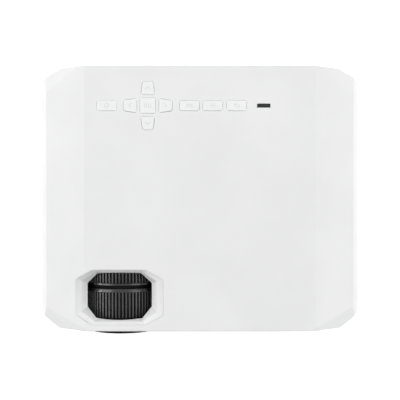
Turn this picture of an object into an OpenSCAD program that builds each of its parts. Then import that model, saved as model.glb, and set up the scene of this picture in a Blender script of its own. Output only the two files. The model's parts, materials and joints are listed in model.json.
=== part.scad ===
// Small video projector with a disc drive in its right side.
// X runs to the right, Y from the lens wall to the connector wall, Z up.
// The origin is on the floor, under the middle of the whole object.

/* [Body] */
// Width of the body, side to side
body_w = 260; // [256:1:270]
// Depth of the body, lens wall to connector wall
body_d = 208; // [204:1:216]
// Height of the body without its feet
body_h = 95; // [94:0.5:100]
// Height of the fixed feet
foot_h = 5; // [3:0.5:8]
// Thickness of the two shells
wall = 2.5; // [2:0.1:2.8]
// Height of the joint between the two shells, above the underside
split_h = 47; // [45:0.5:48]
// Width of the flat top
top_w = 180; // [176:1:190]
// How far the sloping sides come down from the top
slope_drop = 21; // [18:0.5:22]
// How far the steep bands reach in at their upper edge
band_in = 6; // [5:0.5:7]
// Height of the steep bands
band_drop = 15; // [13:0.5:16]
// Chamfer under both sides
keel = 9; // [6:0.5:9]
// Length of the front corner cuts along the lens wall
cut_front_x = 17; // [14:0.5:18]
// Length of the front corner cuts along the sides
cut_front_y = 11; // [9:0.5:12]
// Length of the rear corner cuts along the connector wall
cut_rear_x = 19; // [16:0.5:20]
// Length of the rear corner cuts along the sides
cut_rear_y = 8; // [6:0.5:10]

/* [Lens] */
// Distance of the lens axis from the middle, to the left
lens_off = 63.5; // [63:0.5:66]
// Height of the lens axis above the underside
lens_h = 55; // [54:0.5:56]
// Radius of the two ribbed rings
ring_r = 33; // [32.5:0.1:33.4]
// Number of ribs on each ring
ring_ribs = 76; // [60:1:90]
// Length of the focus ring
focus_l = 24.3; // [22:0.1:25]
// Length of the keystone ring
keystone_l = 19; // [17:0.1:20]
// Groove between the two rings
ring_groove = 1.9; // [1.8:0.1:2.4]
// Radius of the moving lens barrel
barrel_r = 27.5; // [27:0.1:27.8]
// How far the barrel stands out of the lens wall
hood_proud = 3.6; // [3:0.1:5]
// Focus travel of the barrel, each way
focus_travel = 4; // [3:0.5:5]

/* [Ring window] */
// Width of the window frame
window_w = 68.9; // [67:0.1:71]
// Depth of the window frame, front to back
window_d = 43; // [41:0.1:44]
// Distance of the window frame from the lens wall
window_gap = 5.1; // [4.5:0.1:6]
// Width of the sloped rim of the frame
window_rim = 5.4; // [4:0.1:6]

/* [Keys] */
// Width of the long keys
key_w = 16; // [14:0.1:16.5]
// Depth of the long keys
key_d = 8.4; // [7:0.1:9]
// Side of the middle key
ok_w = 12.5; // [11:0.1:12.8]
// Gap around each key
key_gap = 0.35; // [0.3:0.05:0.5]
// How far a key stands out of the top
key_proud = 0.3; // [0:0.1:0.8]
// Travel of a key
key_travel = 0.6; // [0.4:0.05:0.8]

/* [Disc drive] */
// Width of the drive case
drive_w = 128; // [127:0.5:129]
// Length of the drive case
drive_l = 126; // [125.5:0.5:127]
// Height of the drive case
drive_h = 13.5; // [13:0.1:14]
// Distance of the middle of the drive from the middle of the body, to the front
drive_off = 26; // [25.5:0.5:27]
// Diameter of the disc
disc_d = 120; // [118:0.5:120]
// Width of the tray's front strip
bezel_w = 130; // [129:0.5:131]
// Height of the tray's front strip
bezel_h = 14.4; // [14:0.1:15]

/* [Clearances] */
// Radial clearance of turning and sliding fits
fit = 0.05; // [0.02:0.01:0.08]
// Clearance between pieces that slide past each other
slip = 0.3; // [0.25:0.05:0.4]
// Clearance of panels that are set into a wall
seat = 0.1; // [0.05:0.05:0.2]

/* [Hidden] */
$fn = 64;

// Body levels and edges
half_w = body_w / 2;
half_d = body_d / 2;
base_z = foot_h;
floor_z = base_z + wall;
top_z = base_z + body_h;
roof_z = top_z - wall;
split_z = base_z + split_h;
slope_z = top_z - slope_drop;
band_z = slope_z - band_drop;
front_y = -half_d + wall;
rear_y = half_d - wall;
side_x = half_w - wall;
// Moves the body so that the origin is under the middle of the whole object
shift_y = hood_proud / 2;
big = 3 * body_w;
eps = 0.01;

// Corner facets: where each plane meets the top edge, the slope edge and the corner
facet_front_x = 89;
facet_front_y = 17;
facet_front_drop = 19;
facet_rear_x = 91;
facet_rear_y = 19;
facet_rear_drop = 15;

// Lens group
lens_x = -lens_off;
lens_z = base_z + lens_h;
ring_root = ring_r - 0.9;
ring_front_y = -half_d + 8.4;
focus_back_y = ring_front_y + focus_l;
keystone_front_y = focus_back_y + ring_groove;
keystone_back_y = keystone_front_y + keystone_l;
tube_wall = 2.5;
tube_in_r = barrel_r + fit;
tube_out_r = tube_in_r + tube_wall;
ring_in_r = tube_out_r + fit;
tube_back_y = keystone_back_y + slip;
tube_lip = 1.5;
tube_front_y = ring_front_y - slip - tube_lip;
barrel_in_r = barrel_r - 2.5;
barrel_front_y = -half_d - hood_proud;
barrel_l = 46;
lens_r = barrel_in_r - fit;

// Window frame
window_x = -63.1;
window_back_y = -half_d + window_gap + window_d;
window_mid_y = -half_d + window_gap + window_d / 2;
window_drop = 14;
window_rim_drop = 3;
// Corner cuts of the window's outline, of its rim and of its lower edge
window_cut = [13.5, 7.6];
rim_cut = [10.8, 7.4];
low_cut = [9.5, 7];
// Insets of the rim and of the lower edge
rim_shift = 1;
rim_front = 2.5;
rim_back = 2;
low_in = [2.8, 4.3, 4.2];
window_over = 1;

// Drive
drive_y = -drive_off;
drive_z = floor_z + 11.5;
drive_sheet = 0.8;
bezel_t = 3;
drive_x1 = half_w - bezel_t - slip;
drive_x0 = drive_x1 - drive_l;
drive_top = drive_z + drive_h;
drive_in_w = drive_w - 2 * drive_sheet;
bezel_z = drive_z + drive_h / 2;
disc_x = drive_x1 - disc_d / 2 - 2.5;
tray_top = drive_top - drive_sheet - 0.7;
tray_t = 3.5;
tray_floor_z = tray_top - 1.8;
tray_low_z = tray_top - tray_t;
tray_w = drive_in_w - 2 * slip;
tray_x0 = drive_x0 + drive_sheet + slip;
tray_x1 = half_w - bezel_t;
runner_t = 2;
runner_h = 4.6;
runner_z = drive_z + drive_sheet + 0.8;
runner_l = drive_l - 6;
runner_y = drive_in_w / 2 - slip - runner_t;
rib_t = 2.4;
rib_y = runner_y - slip - rib_t;
deck_w = 2 * (rib_y - 2);
deck_t = 1.2;
deck_z = tray_low_z - deck_t;

// Optical engine
engine_wall = 2;
engine_w = 89;
engine_l = body_d - 118;
engine_h = 50;
engine_z = lens_z - engine_h / 2;
engine_y1 = tube_back_y + engine_l;
light_r = 21;
lcd_w = 78;
lcd_h = 40;
condenser_y = engine_y1 - 30;
lcd_y = condenser_y - 22;
lcd_rim = 4;
lcd_t = 3;
lcd_pin_r = 2;
fresnel_gap = 9;
fresnel_t = 2;
condenser_r = 23;
condenser_t = 11;
led_hole = 20;
led_w = 42;
led_t = 1.6;
sink_w = 78;
sink_h = 50;
sink_base_t = 4;
sink_l = 24;
sink_fins = 16;
fin_t = 1.2;

// Fans: side of the frame, thickness, radius of the duct
exhaust_s = 50;
exhaust_t = 15;
exhaust_r = 23.5;
lcd_fan_s = 50;
lcd_fan_t = 12;
lcd_fan_r = 23.5;
lcd_fan_y = lcd_y + 2.1;
fan_shaft_r = 1.5;
blades = 7;

// Wall panels
flange_t = 2;
flange_w = 2;
rear_grille_w = 76;
rear_grille_h = 48;
rear_grille_z = lens_z;
front_grille_w = 100;
front_grille_h = 28;
front_grille_x = 49;
front_grille_z = top_z - 32;
side_grille_w = 80;
side_grille_h = 26;
side_grille_y = 10;
side_grille_z = base_z + 26;
slot_w = 2.6;
slot_pitch = 5;
exhaust_y = rear_y - flange_t - exhaust_t;

// Connectors on the main board: x, width, height, length
board_t = 1.6;
post_r = 3.5;
main_z = floor_z + 17.5;
main_x0 = -14;
main_x1 = 110;
main_y0 = drive_y + drive_w / 2 + 2;
main_y1 = rear_y - flange_t - slip;
chip_x = 30;
chip_y = main_y0 + 22;
jack_x = [-9, 3];
jack_s = 8;
jack_r = 1.8;
hdmi_x = [20, 40];
hdmi_w = 15;
hdmi_h = 5.8;
usb_x = 61;
usb_w = 13.2;
usb_h = 7;
vga_x = 87;
vga_w = 30.8;
vga_h = 12.5;
socket_l = 13;
socket_wall = 0.6;
io_x = 44.5;
io_w = 121;
io_h = 22;
io_z = main_z + 6;
power_z = floor_z + 4.5;
power_x0 = -half_w + 32;
power_x1 = -30;
power_y0 = -38;
power_y1 = power_y0 + 66;
inlet_x = -62;
inlet_z = base_z + 13;
inlet_w = 24;
inlet_h = 14;
inlet_l = 20;

// Speakers
speaker_r = 18;
speaker_l = 16;
speaker_x = [20, 80];
speaker_z = front_grille_z;

// Keys: middle of the cross, row of long keys
key_y = half_d - 31.5;
cross_x = -40.6;
power_x = -72.8;
row_x = [-8, 10.2, 28.9];
side_key_off = 13.9;
side_key_w = 10.8;
side_key_d = 11.7;
tall_key_off = 13.8;
tall_key_d = 10.6;
tall_key_w = 11.6;
key_taper = 1.6;
key_round = 1.5;
key_cap_t = 3.4;
key_lip = 0.8;
key_lip_t = 1;
key_stem_r = 1.5;
key_top_z = top_z + key_proud;
key_lip_z = roof_z - slip - key_lip_t;
key_stem_z = key_lip_z - slip;
switch_s = 6;
switch_h = 4;
switch_nub = 0.4;
key_board_z = key_stem_z - key_travel - 0.1 - switch_nub - switch_h - board_t;
key_board_x0 = -86;
key_board_x1 = 58;
key_board_y0 = key_y - 22.5;
key_board_y1 = key_y + 22.5;
led_window_x = 50;
led_window_w = 10.5;
led_window_d = 3.2;

// Feet, tripod insert and screws
foot_r = 8;
foot_x = 104;
foot_y = 84;
foot_seat = 1;
front_foot_x = drive_x0 - 9.7;
front_foot_y = -half_d + 26;
front_foot_r = 3;
front_foot_l = 24;
pad_r = 9;
pad_t = 3.5;
pad_lift = 0.5;
boss_r = 7;
boss_h = 12;
tripod_x = front_foot_x;
tripod_y = 6;
tripod_bore_r = 2.6;
tripod_l = 9;
tripod_out_r = 4.5;
screw_r = 1.45;
screw_head_r = 2.9;
screw_head_t = 2;
screw_l = 58;
screw_boss_r = 4;
screw_at = [[-118, -70], [-118, 76], [119, 80], [-18, -94]];

// Drive parts
tray_travel = drive_l - 2;
runner_x0 = drive_x0 + drive_sheet + slip;
rib_low = drive_z + drive_sheet + 0.5;
spindle_r = 12;
motor_h = 4.4;
shaft_r = 1.45;
hub_r = 7.4;
hub_flange_r = 11;
hub_flange_t = 1.3;
hub_top = tray_top;
sled_angle = 135;
sled_z = drive_z + drive_sheet + 1;
sled_t = 4.6;
sled_x0 = 17;
sled_l = 12;
sled_w = 32;
sled_travel = drive_w / 2 - 30;
lens_at = 23;
turret_r = 4;
slot_half = turret_r + 2;
rod_r = 1;
rod_off = 13;
lead_r = 1.4;
lead_off = 19;
lead_end = sled_travel + 24;
rod_end = sled_x0 + sled_l + sled_travel + slip;
rod_z = sled_z + sled_t / 2;
lug_t = 2.5;
lug_w = 4;
eject_y = drive_y - drive_w / 2 + 16;
eject_w = 10;
eject_h = 3.5;
eject_z = bezel_z - 3;
eject_lip = 1;

// ---- Shapes that repeat ----

function unit(v) = v / norm(v);
function left_of(a, b) = let (d = unit(b - a)) [-d[1], d[0]];

// The corners of a convex outline, moved inwards by t
function inset(pts, t) = let (n = len(pts)) [
    for (i = [0:n - 1])
        let (n1 = left_of(pts[(i + n - 1) % n], pts[i]), n2 = left_of(pts[i], pts[(i + 1) % n]))
            pts[i] + t * (n1 + n2) / (1 + n1 * n2)
];

// The same outline with its corners rounded to radius r
function rounded(pts, r, steps = 5) = let (n = len(pts), c = inset(pts, r)) [
    for (i = [0:n - 1])
        let (n1 = left_of(pts[(i + n - 1) % n], pts[i]), n2 = left_of(pts[i], pts[(i + 1) % n]))
            let (a1 = atan2(-n1[1], -n1[0]), turn = acos(min(1, n1 * n2)))
                for (k = [0:steps]) c[i] + r * [cos(a1 + turn * k / steps), sin(a1 + turn * k / steps)]
];

function box_pts(w, d, c = [0, 0]) = [
    c + [-w / 2, -d / 2], c + [w / 2, -d / 2], c + [w / 2, d / 2], c + [-w / 2, d / 2]
];

// Eight-sided outline between two corners, its corners cut by cx and cy
function oct_pts(lo, hi, cx, cy) = [
    [lo[0] + cx, lo[1]], [hi[0] - cx, lo[1]], [hi[0], lo[1] + cy], [hi[0], hi[1] - cy],
    [hi[0] - cx, hi[1]], [lo[0] + cx, hi[1]], [lo[0], hi[1] - cy], [lo[0], lo[1] + cy]
];

// Solid through a stack of outlines with as many corners each, the first and the last one level
module loft(rings) {
    n = len(rings[0]);
    m = len(rings);
    polyhedron(
        points = [for (r = rings) each r],
        faces = [
            [for (i = [0:n - 1]) i],
            [for (i = [n - 1:-1:0]) (m - 1) * n + i],
            for (k = [0:m - 2], i = [0:n - 1]) [k * n + i, (k + 1) * n + i, (k + 1) * n + (i + 1) % n],
            for (k = [0:m - 2], i = [0:n - 1]) [k * n + i, (k + 1) * n + (i + 1) % n, k * n + (i + 1) % n]
        ]
    );
}

module half_space(p, n) {
    translate(p)
        rotate([0, acos(n[2] / norm(n)), atan2(n[1], n[0])])
            translate([-big / 2, -big / 2, 0])
                cube(big);
}

module box(lo, hi) {
    translate(lo) cube(hi - lo);
}

// Cylinder along Y or X from a point, h long
module rod_y(p, r, h) {
    translate(p) rotate([-90, 0, 0]) cylinder(r = r, h = h);
}

module rod_x(p, r, h) {
    translate(p) rotate([0, 90, 0]) cylinder(r = r, h = h);
}

module post(x, y, z0, z1, r = post_r) {
    translate([x, y, z0]) cylinder(r = r, h = z1 - z0);
}

// ---- Body outline ----

section = [
    [-half_w + keel, base_z], [half_w - keel, base_z], [half_w, base_z + keel], [half_w, band_z],
    [half_w - band_in, slope_z], [top_w / 2, top_z], [-top_w / 2, top_z],
    [-half_w + band_in, slope_z], [-half_w, band_z], [-half_w, base_z + keel]
];
plan = [
    [-half_w + cut_front_x, -half_d], [half_w - cut_front_x, -half_d],
    [half_w, -half_d + cut_front_y], [half_w, half_d - cut_rear_y],
    [half_w - cut_rear_x, half_d], [-half_w + cut_rear_x, half_d],
    [-half_w, half_d - cut_rear_y], [-half_w, -half_d + cut_front_y]
];

// A plane through three points, with its normal turned up, moved inwards by t
module corner_facet(a, b, c, t) {
    n = unit(cross(b - a, c - a));
    up = n[2] < 0 ? -n : n;
    half_space(a - t * up, up);
}

module body_solid(t) {
    difference() {
        intersection() {
            rotate([90, 0, 0])
                linear_extrude(height = body_d - 2 * t, center = true)
                    polygon(inset(section, t));
            linear_extrude(height = top_z + 1) polygon(inset(plan, t));
        }
        for (s = [-1, 1]) {
            corner_facet(
                [s * facet_front_x, -half_d, top_z],
                [s * (half_w - band_in), -half_d + facet_front_y, slope_z],
                [s * (half_w - cut_front_x), -half_d, top_z - facet_front_drop], t
            );
            corner_facet(
                [s * facet_rear_x, half_d, top_z],
                [s * (half_w - band_in), half_d - facet_rear_y, slope_z],
                [s * (half_w - cut_rear_x), half_d, top_z - facet_rear_drop], t
            );
        }
    }
}

// ---- Key outlines ----

function long_key(x) = box_pts(key_w, key_d, [x, key_y]);
key_ok_pts = box_pts(ok_w, ok_w, [cross_x, key_y]);
function side_key(s) = let (x = cross_x + s * side_key_off, w = s * side_key_w / 2, d = side_key_d / 2,
    p = [[x - w, key_y - d], [x + w, key_y - d + key_taper], [x + w, key_y + d - key_taper], [x - w, key_y + d]])
    s > 0 ? p : [p[3], p[2], p[1], p[0]];
function tall_key(s) = let (y = key_y + s * tall_key_off, w = tall_key_w / 2, d = s * tall_key_d / 2,
    p = [[cross_x - w, y - d], [cross_x + w, y - d], [cross_x + w - key_taper, y + d], [cross_x - w + key_taper, y + d]])
    s > 0 ? p : [p[3], p[2], p[1], p[0]];
key_shapes = [
    long_key(power_x), side_key(-1), key_ok_pts, side_key(1), tall_key(1), tall_key(-1),
    long_key(row_x[0]), long_key(row_x[1]), long_key(row_x[2])
];
key_at = [
    [power_x, key_y], [cross_x - side_key_off, key_y], [cross_x, key_y], [cross_x + side_key_off, key_y],
    [cross_x, key_y + tall_key_off], [cross_x, key_y - tall_key_off],
    [row_x[0], key_y], [row_x[1], key_y], [row_x[2], key_y]
];

// ---- Window outlines ----

window_out = oct_pts(
    [window_x - window_w / 2, window_back_y - window_d], [window_x + window_w / 2, window_back_y],
    window_cut[0], window_cut[1]
);
window_rim_pts = oct_pts(
    [window_x - window_w / 2 + window_rim - rim_shift, window_back_y - window_d + rim_front],
    [window_x + window_w / 2 - window_rim, window_back_y - rim_back], rim_cut[0], rim_cut[1]
);
window_low_pts = oct_pts(
    [window_x - window_w / 2 + window_rim + low_in[0], ring_front_y + slip],
    [window_x + window_w / 2 - window_rim - low_in[1], window_back_y - low_in[2]], low_cut[0], low_cut[1]
);

// Level of the upper cover's top at x
function cover_z(x) = top_z - max(0, abs(x) - top_w / 2) * slope_drop / (half_w - band_in - top_w / 2);
function at_level(pts, levels) = [for (i = [0:len(pts) - 1]) [pts[i][0], pts[i][1], levels[i]]];
window_levels = [for (p = window_out) cover_z(p[0])];
level_eight = [for (p = window_out) 1];
window_skin = [
    at_level(window_low_pts, level_eight * (top_z - window_drop - eps)),
    at_level(window_rim_pts, window_levels - level_eight * window_rim_drop),
    at_level(inset(window_out, -eps), window_levels),
    at_level(inset(window_out, -eps), level_eight * (top_z + window_over))
];

// ---- Covers ----

module shell() {
    difference() {
        body_solid(0);
        body_solid(wall);
    }
}

// Everything that is cut through the walls of both covers
module wall_cuts() {
    rod_y([lens_x, -half_d - 1, lens_z], barrel_r + 1.5, wall + 12);
    box([io_x - io_w / 2, rear_y - 1, io_z - io_h / 2], [io_x + io_w / 2, half_d + 1, io_z + io_h / 2]);
    box(
        [lens_x - rear_grille_w / 2, rear_y - 1, rear_grille_z - rear_grille_h / 2],
        [lens_x + rear_grille_w / 2, half_d + 1, rear_grille_z + rear_grille_h / 2]
    );
    box(
        [front_grille_x - front_grille_w / 2, -half_d - 1, front_grille_z - front_grille_h / 2],
        [front_grille_x + front_grille_w / 2, front_y + 1, front_grille_z + front_grille_h / 2]
    );
    box(
        [-half_w - 1, side_grille_y - side_grille_w / 2, side_grille_z - side_grille_h / 2],
        [-side_x + 1, side_grille_y + side_grille_w / 2, side_grille_z + side_grille_h / 2]
    );
    box(
        [side_x - 1, drive_y - bezel_w / 2 - slip, bezel_z - bezel_h / 2 - slip],
        [half_w + 1, drive_y + bezel_w / 2 + slip, bezel_z + bezel_h / 2 + slip]
    );
    box(
        [inlet_x - inlet_w / 2, rear_y - 1, inlet_z - inlet_h / 2],
        [inlet_x + inlet_w / 2, half_d + 1, inlet_z + inlet_h / 2]
    );
}

module side_vents() {
    vents = 9;
    for (i = [0:vents - 1])
        box(
            [side_x - 1, -62 + 9 * i, split_z + 2.5],
            [half_w + 1, -62 + 9 * i + 3, band_z - 1.5]
        );
}

module screw_bosses(z0, z1, bore) {
    intersection() {
        for (p = screw_at)
            post(p[0], p[1], z0, z1, screw_boss_r);
        body_solid(wall / 2);
    }
}

module screw_holes(r, z0, z1) {
    for (p = screw_at)
        post(p[0], p[1], z0, z1, r);
}

key_post_at = [
    [key_board_x0 + 4, key_board_y0 + 4], [key_board_x0 + 4, key_board_y1 - 4],
    [key_board_x1 - 4, key_board_y0 + 4], [key_board_x1 - 4, key_board_y1 - 4]
];

module top_cover() color("white") {
    difference() {
        union() {
            intersection() {
                shell();
                translate([-big / 2, -big / 2, split_z]) cube(big);
            }
            screw_bosses(split_z, top_z);
            for (p = key_post_at)
                post(p[0], p[1], key_board_z + board_t, roof_z + wall / 2, 3);
        }
        wall_cuts();
        side_vents();
        for (k = key_shapes)
            translate([0, 0, roof_z - 1]) linear_extrude(wall + 2) polygon(rounded(k, key_round));
        translate([led_window_x, key_y, top_z])
            cube([led_window_w, led_window_d, 3 * wall], center = true);
        translate([0, 0, split_z + 5])
            linear_extrude(body_h) polygon(inset(window_out, -seat));
        screw_holes(screw_r + fit, split_z - 1, base_z + screw_l + 6);
    }
}

module bottom_cover() color("white") {
    difference() {
        union() {
            intersection() {
                shell();
                translate([-big / 2, -big / 2, split_z - big]) cube(big);
            }
            joint_lip();
            screw_bosses(base_z, split_z);
            floor_posts();
        }
        wall_cuts();
        screw_holes(screw_r + 0.2, base_z - 1, split_z + 1);
        screw_holes(screw_head_r + 0.3, base_z - 1, base_z + screw_head_t + 1);
        for (x = [-foot_x, foot_x], y = [-foot_y, foot_y])
            post(x, y, base_z - 1, base_z + foot_seat, foot_r + seat);
        post(tripod_x, tripod_y, base_z - 1, base_z + tripod_l + seat, tripod_out_r + fit);
        post(front_foot_x, front_foot_y, base_z - 1, floor_z + boss_h + 1, front_foot_r + fit);
        post(front_foot_x, front_foot_y, base_z - 1, base_z + 0.8, pad_r + 1);
        base_vents();
    }
}

// Lip on the lower cover that the upper cover closes over
module joint_lip() {
    lip_t = 1.2;
    lip_h = 2;
    difference() {
        intersection() {
            difference() {
                body_solid(wall + seat);
                body_solid(wall + seat + lip_t);
            }
            box([-half_w, -half_d, split_z - lip_h], [half_w, half_d, split_z + lip_h]);
        }
        box(
            [front_grille_x - front_grille_w / 2 - flange_w - 1, -half_d, split_z - 0.01],
            [front_grille_x + front_grille_w / 2 + flange_w + 1, front_y + flange_t + 1, top_z]
        );
        box(
            [lens_x - rear_grille_w / 2 - flange_w - 1, rear_y - flange_t - 1, base_z],
            [lens_x + rear_grille_w / 2 + flange_w + 1, half_d, top_z]
        );
        screw_holes(screw_boss_r + seat, split_z, top_z);
    }
    intersection() {
        difference() {
            body_solid(wall / 2);
            body_solid(wall + seat + lip_t);
            box(
                [lens_x - rear_grille_w / 2 - flange_w - 1, rear_y - flange_t - 1, base_z],
                [lens_x + rear_grille_w / 2 + flange_w + 1, half_d, top_z]
            );
        }
        box([-half_w, -half_d, split_z - lip_h], [half_w, half_d, split_z]);
    }
}

engine_post_at = [
    [lens_x - engine_w / 2 + 4.5, tube_back_y + 4.5], [lens_x + engine_w / 2 - 4.5, tube_back_y + 4.5],
    [lens_x - engine_w / 2 + 4.5, engine_y1 - 4.5], [lens_x + engine_w / 2 - 4.5, engine_y1 - 4.5]
];
drive_post_at = [
    [drive_x0 + 8, drive_y - drive_w / 2 + 8], [drive_x1 - 10, drive_y - drive_w / 2 + 8],
    [drive_x0 + 8, drive_y + drive_w / 2 - 8], [drive_x1 - 10, drive_y + drive_w / 2 - 8]
];
main_post_at = [
    [main_x0 + 4, main_y0 + 4], [main_x1 - 4, main_y0 + 4],
    [main_x0 + 4, main_y1 - 4], [main_x1 - 4, main_y1 - 4]
];
power_post_at = [
    [power_x0 + 4, power_y0 + 4], [power_x1 - 4, power_y0 + 4],
    [power_x0 + 4, power_y1 - 4], [power_x1 - 4, power_y1 - 4]
];

module floor_posts() {
    for (p = engine_post_at)
        post(p[0], p[1], base_z + 1, engine_z);
    for (p = drive_post_at)
        post(p[0], p[1], base_z + 1, drive_z);
    for (p = main_post_at)
        post(p[0], p[1], base_z + 1, main_z);
    for (p = power_post_at)
        post(p[0], p[1], base_z + 1, power_z);
    post(tripod_x, tripod_y, base_z + 1, base_z + tripod_l + 2.5, tripod_out_r + 2.5);
    post(front_foot_x, front_foot_y, base_z + 1, floor_z + boss_h, boss_r);
    // Shelf under the exhaust fan
    box(
        [lens_x - exhaust_s / 2, exhaust_y + 2, floor_z - 1],
        [lens_x - exhaust_s / 2 + 3, exhaust_y + exhaust_t - 2, lens_z - exhaust_s / 2]
    );
    box(
        [lens_x + exhaust_s / 2 - 3, exhaust_y + 2, floor_z - 1],
        [lens_x + exhaust_s / 2, exhaust_y + exhaust_t - 2, lens_z - exhaust_s / 2]
    );
}

module base_vents() {
    vents = 8;
    vent_w = 3;
    vent_l = 44;
    for (i = [0:vents - 1])
        box(
            [power_x0 + 9 + 7 * i, power_y0 + 10, base_z - 1],
            [power_x0 + 9 + 7 * i + vent_w, power_y0 + 10 + vent_l, floor_z + 1]
        );
}

// ---- Set-in panels ----

module lens_bezel() color("whitesmoke") {
    difference() {
        intersection() {
            body_solid(0);
            translate([0, 0, top_z - window_drop]) linear_extrude(window_drop) polygon(window_out);
        }
        loft(window_skin);
        rod_y([lens_x, -half_d, lens_z], ring_r + 1, window_d + 20);
    }
}

// Panel across Y: outline w by h through the wall, with a flange on its inner side
module wall_panel(w, h) {
    translate([0, -(wall + flange_t) / 2, 0])
        cube([w - 2 * seat, wall + flange_t, h - 2 * seat], center = true);
    translate([0, -wall - flange_t / 2, 0])
        cube([w + 2 * flange_w, flange_t, h + 2 * flange_w], center = true);
}

module slot_rows(w, h, rows) {
    n = floor((w - 4) / slot_pitch);
    row_h = (h - 4) / rows;
    for (i = [0:n - 1], r = [0:rows - 1])
        translate([(i - (n - 1) / 2) * slot_pitch, 0, (r - (rows - 1) / 2) * row_h])
            cube([slot_w, 30, row_h - 2.4], center = true);
}

module front_grille() color("whitesmoke") {
    translate([front_grille_x, -half_d, front_grille_z])
        rotate([0, 0, 180])
            difference() {
                wall_panel(front_grille_w, front_grille_h);
                slot_rows(front_grille_w, front_grille_h, 2);
            }
}

module rear_grille() color("dimgray") {
    translate([lens_x, half_d, rear_grille_z])
        difference() {
            wall_panel(rear_grille_w, rear_grille_h);
            slot_rows(rear_grille_w, rear_grille_h, 3);
        }
}

module side_grille() color("whitesmoke") {
    translate([-half_w, side_grille_y, side_grille_z])
        rotate([0, 0, 90])
            difference() {
                wall_panel(side_grille_w, side_grille_h);
                slot_rows(side_grille_w, side_grille_h, 1);
            }
}

module io_panel() color("dimgray") {
    difference() {
        translate([io_x, half_d, io_z]) wall_panel(io_w, io_h);
        socket_outlines(seat);
    }
}

module status_window() color("black") {
    translate([led_window_x, key_y, top_z - wall / 2])
        cube([led_window_w - 2 * seat, led_window_d - 2 * seat, wall], center = true);
    translate([led_window_x, key_y, roof_z - 0.5])
        cube([led_window_w + 2, led_window_d + 2, 1], center = true);
}

module rubber_feet() color("dimgray") {
    for (x = [-foot_x, foot_x], y = [-foot_y, foot_y])
        post(x, y, 0, base_z + foot_seat, foot_r);
}

module front_foot_pad() color("dimgray") {
    difference() {
        post(front_foot_x, front_foot_y, pad_lift, pad_lift + pad_t, pad_r);
        post(front_foot_x, front_foot_y, pad_lift + 1.2, pad_lift + pad_t + 1, front_foot_r - 0.8 + fit);
    }
}

module front_foot_screw() color("silver") {
    post(front_foot_x, front_foot_y, pad_lift + 1.2 + slip, pad_lift + pad_t + 1, front_foot_r - 0.8);
    post(front_foot_x, front_foot_y, pad_lift + pad_t + slip, pad_lift + front_foot_l, front_foot_r);
}

module tripod_insert() color("gold") {
    difference() {
        post(tripod_x, tripod_y, base_z, base_z + tripod_l, tripod_out_r);
        post(tripod_x, tripod_y, base_z - 1, base_z + tripod_l + 1, tripod_bore_r);
    }
}

module cover_screws() color("silver") {
    for (p = screw_at) {
        post(p[0], p[1], base_z + 1, base_z + 1 + screw_head_t, screw_head_r);
        post(p[0], p[1], base_z + 1, base_z + screw_l, screw_r);
    }
}

// ---- Keys ----

module key(i) {
    outline = key_shapes[i];
    translate([0, 0, key_lip_z])
        linear_extrude(key_top_z - key_lip_z) polygon(rounded(inset(outline, key_gap), key_round - key_gap));
    translate([0, 0, key_lip_z])
        linear_extrude(key_lip_t) polygon(rounded(inset(outline, -key_lip), key_round));
    post(key_at[i][0], key_at[i][1], key_stem_z, key_lip_z + 0.5, key_stem_r);
}

module key_power() color("white") key(0);
module key_left() color("white") key(1);
module key_ok() color("white") key(2);
module key_right() color("white") key(3);
module key_up() color("white") key(4);
module key_down() color("white") key(5);
module key_source() color("white") key(6);
module key_menu() color("white") key(7);
module key_back() color("white") key(8);

module key_board() color("darkgreen") {
    box([key_board_x0, key_board_y0, key_board_z], [key_board_x1, key_board_y1, key_board_z + board_t]);
}

module key_switches() color("dimgray") {
    for (p = key_at) {
        translate([p[0], p[1], key_board_z + board_t + switch_h / 2])
            cube([switch_s, switch_s, switch_h], center = true);
        post(p[0], p[1], key_board_z + board_t + 1, key_board_z + board_t + switch_h + switch_nub, 1.6);
    }
}

// ---- Lens ----

// Ribbed outline: flat-topped ribs on a round root
function ribbed(r, root, n) = [
    for (i = [0:n - 1], k = [0:3])
        let (a = (i + [0, 0.14, 0.5, 0.64][k]) * 360 / n, q = k < 2 ? root : r)
            q * [cos(a), sin(a)]
];

// Ribbed ring from y0, l long, smooth and chamfered over the last bevel_l at one end
module ribbed_ring(y0, l, bevel_l, bevel_back) {
    y1 = bevel_back ? y0 : y0 + bevel_l;
    cone_y = bevel_back ? y0 + l - bevel_l : y0;
    difference() {
        union() {
            translate([lens_x, y1, lens_z])
                rotate([-90, 0, 0])
                    linear_extrude(l - bevel_l) polygon(ribbed(ring_r, ring_root, ring_ribs));
            translate([lens_x, cone_y, lens_z])
                rotate([-90, 0, 0])
                    cylinder(
                        h = bevel_l,
                        r1 = bevel_back ? ring_r - 0.3 : ring_r - 1.8,
                        r2 = bevel_back ? ring_r - 1.8 : ring_r - 0.3
                    );
        }
        rod_y([lens_x, y0 - 1, lens_z], ring_in_r, l + 2);
    }
}

module focus_ring() color("black") ribbed_ring(ring_front_y, focus_l, 2.7, true);
module keystone_ring() color("black") ribbed_ring(keystone_front_y, keystone_l, 1.4, false);

module lens_tube() color("dimgray") {
    difference() {
        union() {
            rod_y([lens_x, tube_front_y, lens_z], tube_out_r, tube_back_y - tube_front_y);
            rod_y([lens_x, tube_front_y, lens_z], tube_out_r + 1.2, tube_lip);
            rod_y([lens_x, focus_back_y + slip, lens_z], tube_out_r + 0.8, ring_groove - 2 * slip);
        }
        rod_y([lens_x, tube_front_y - 1, lens_z], tube_in_r, tube_back_y - tube_front_y + 2);
    }
}

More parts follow.
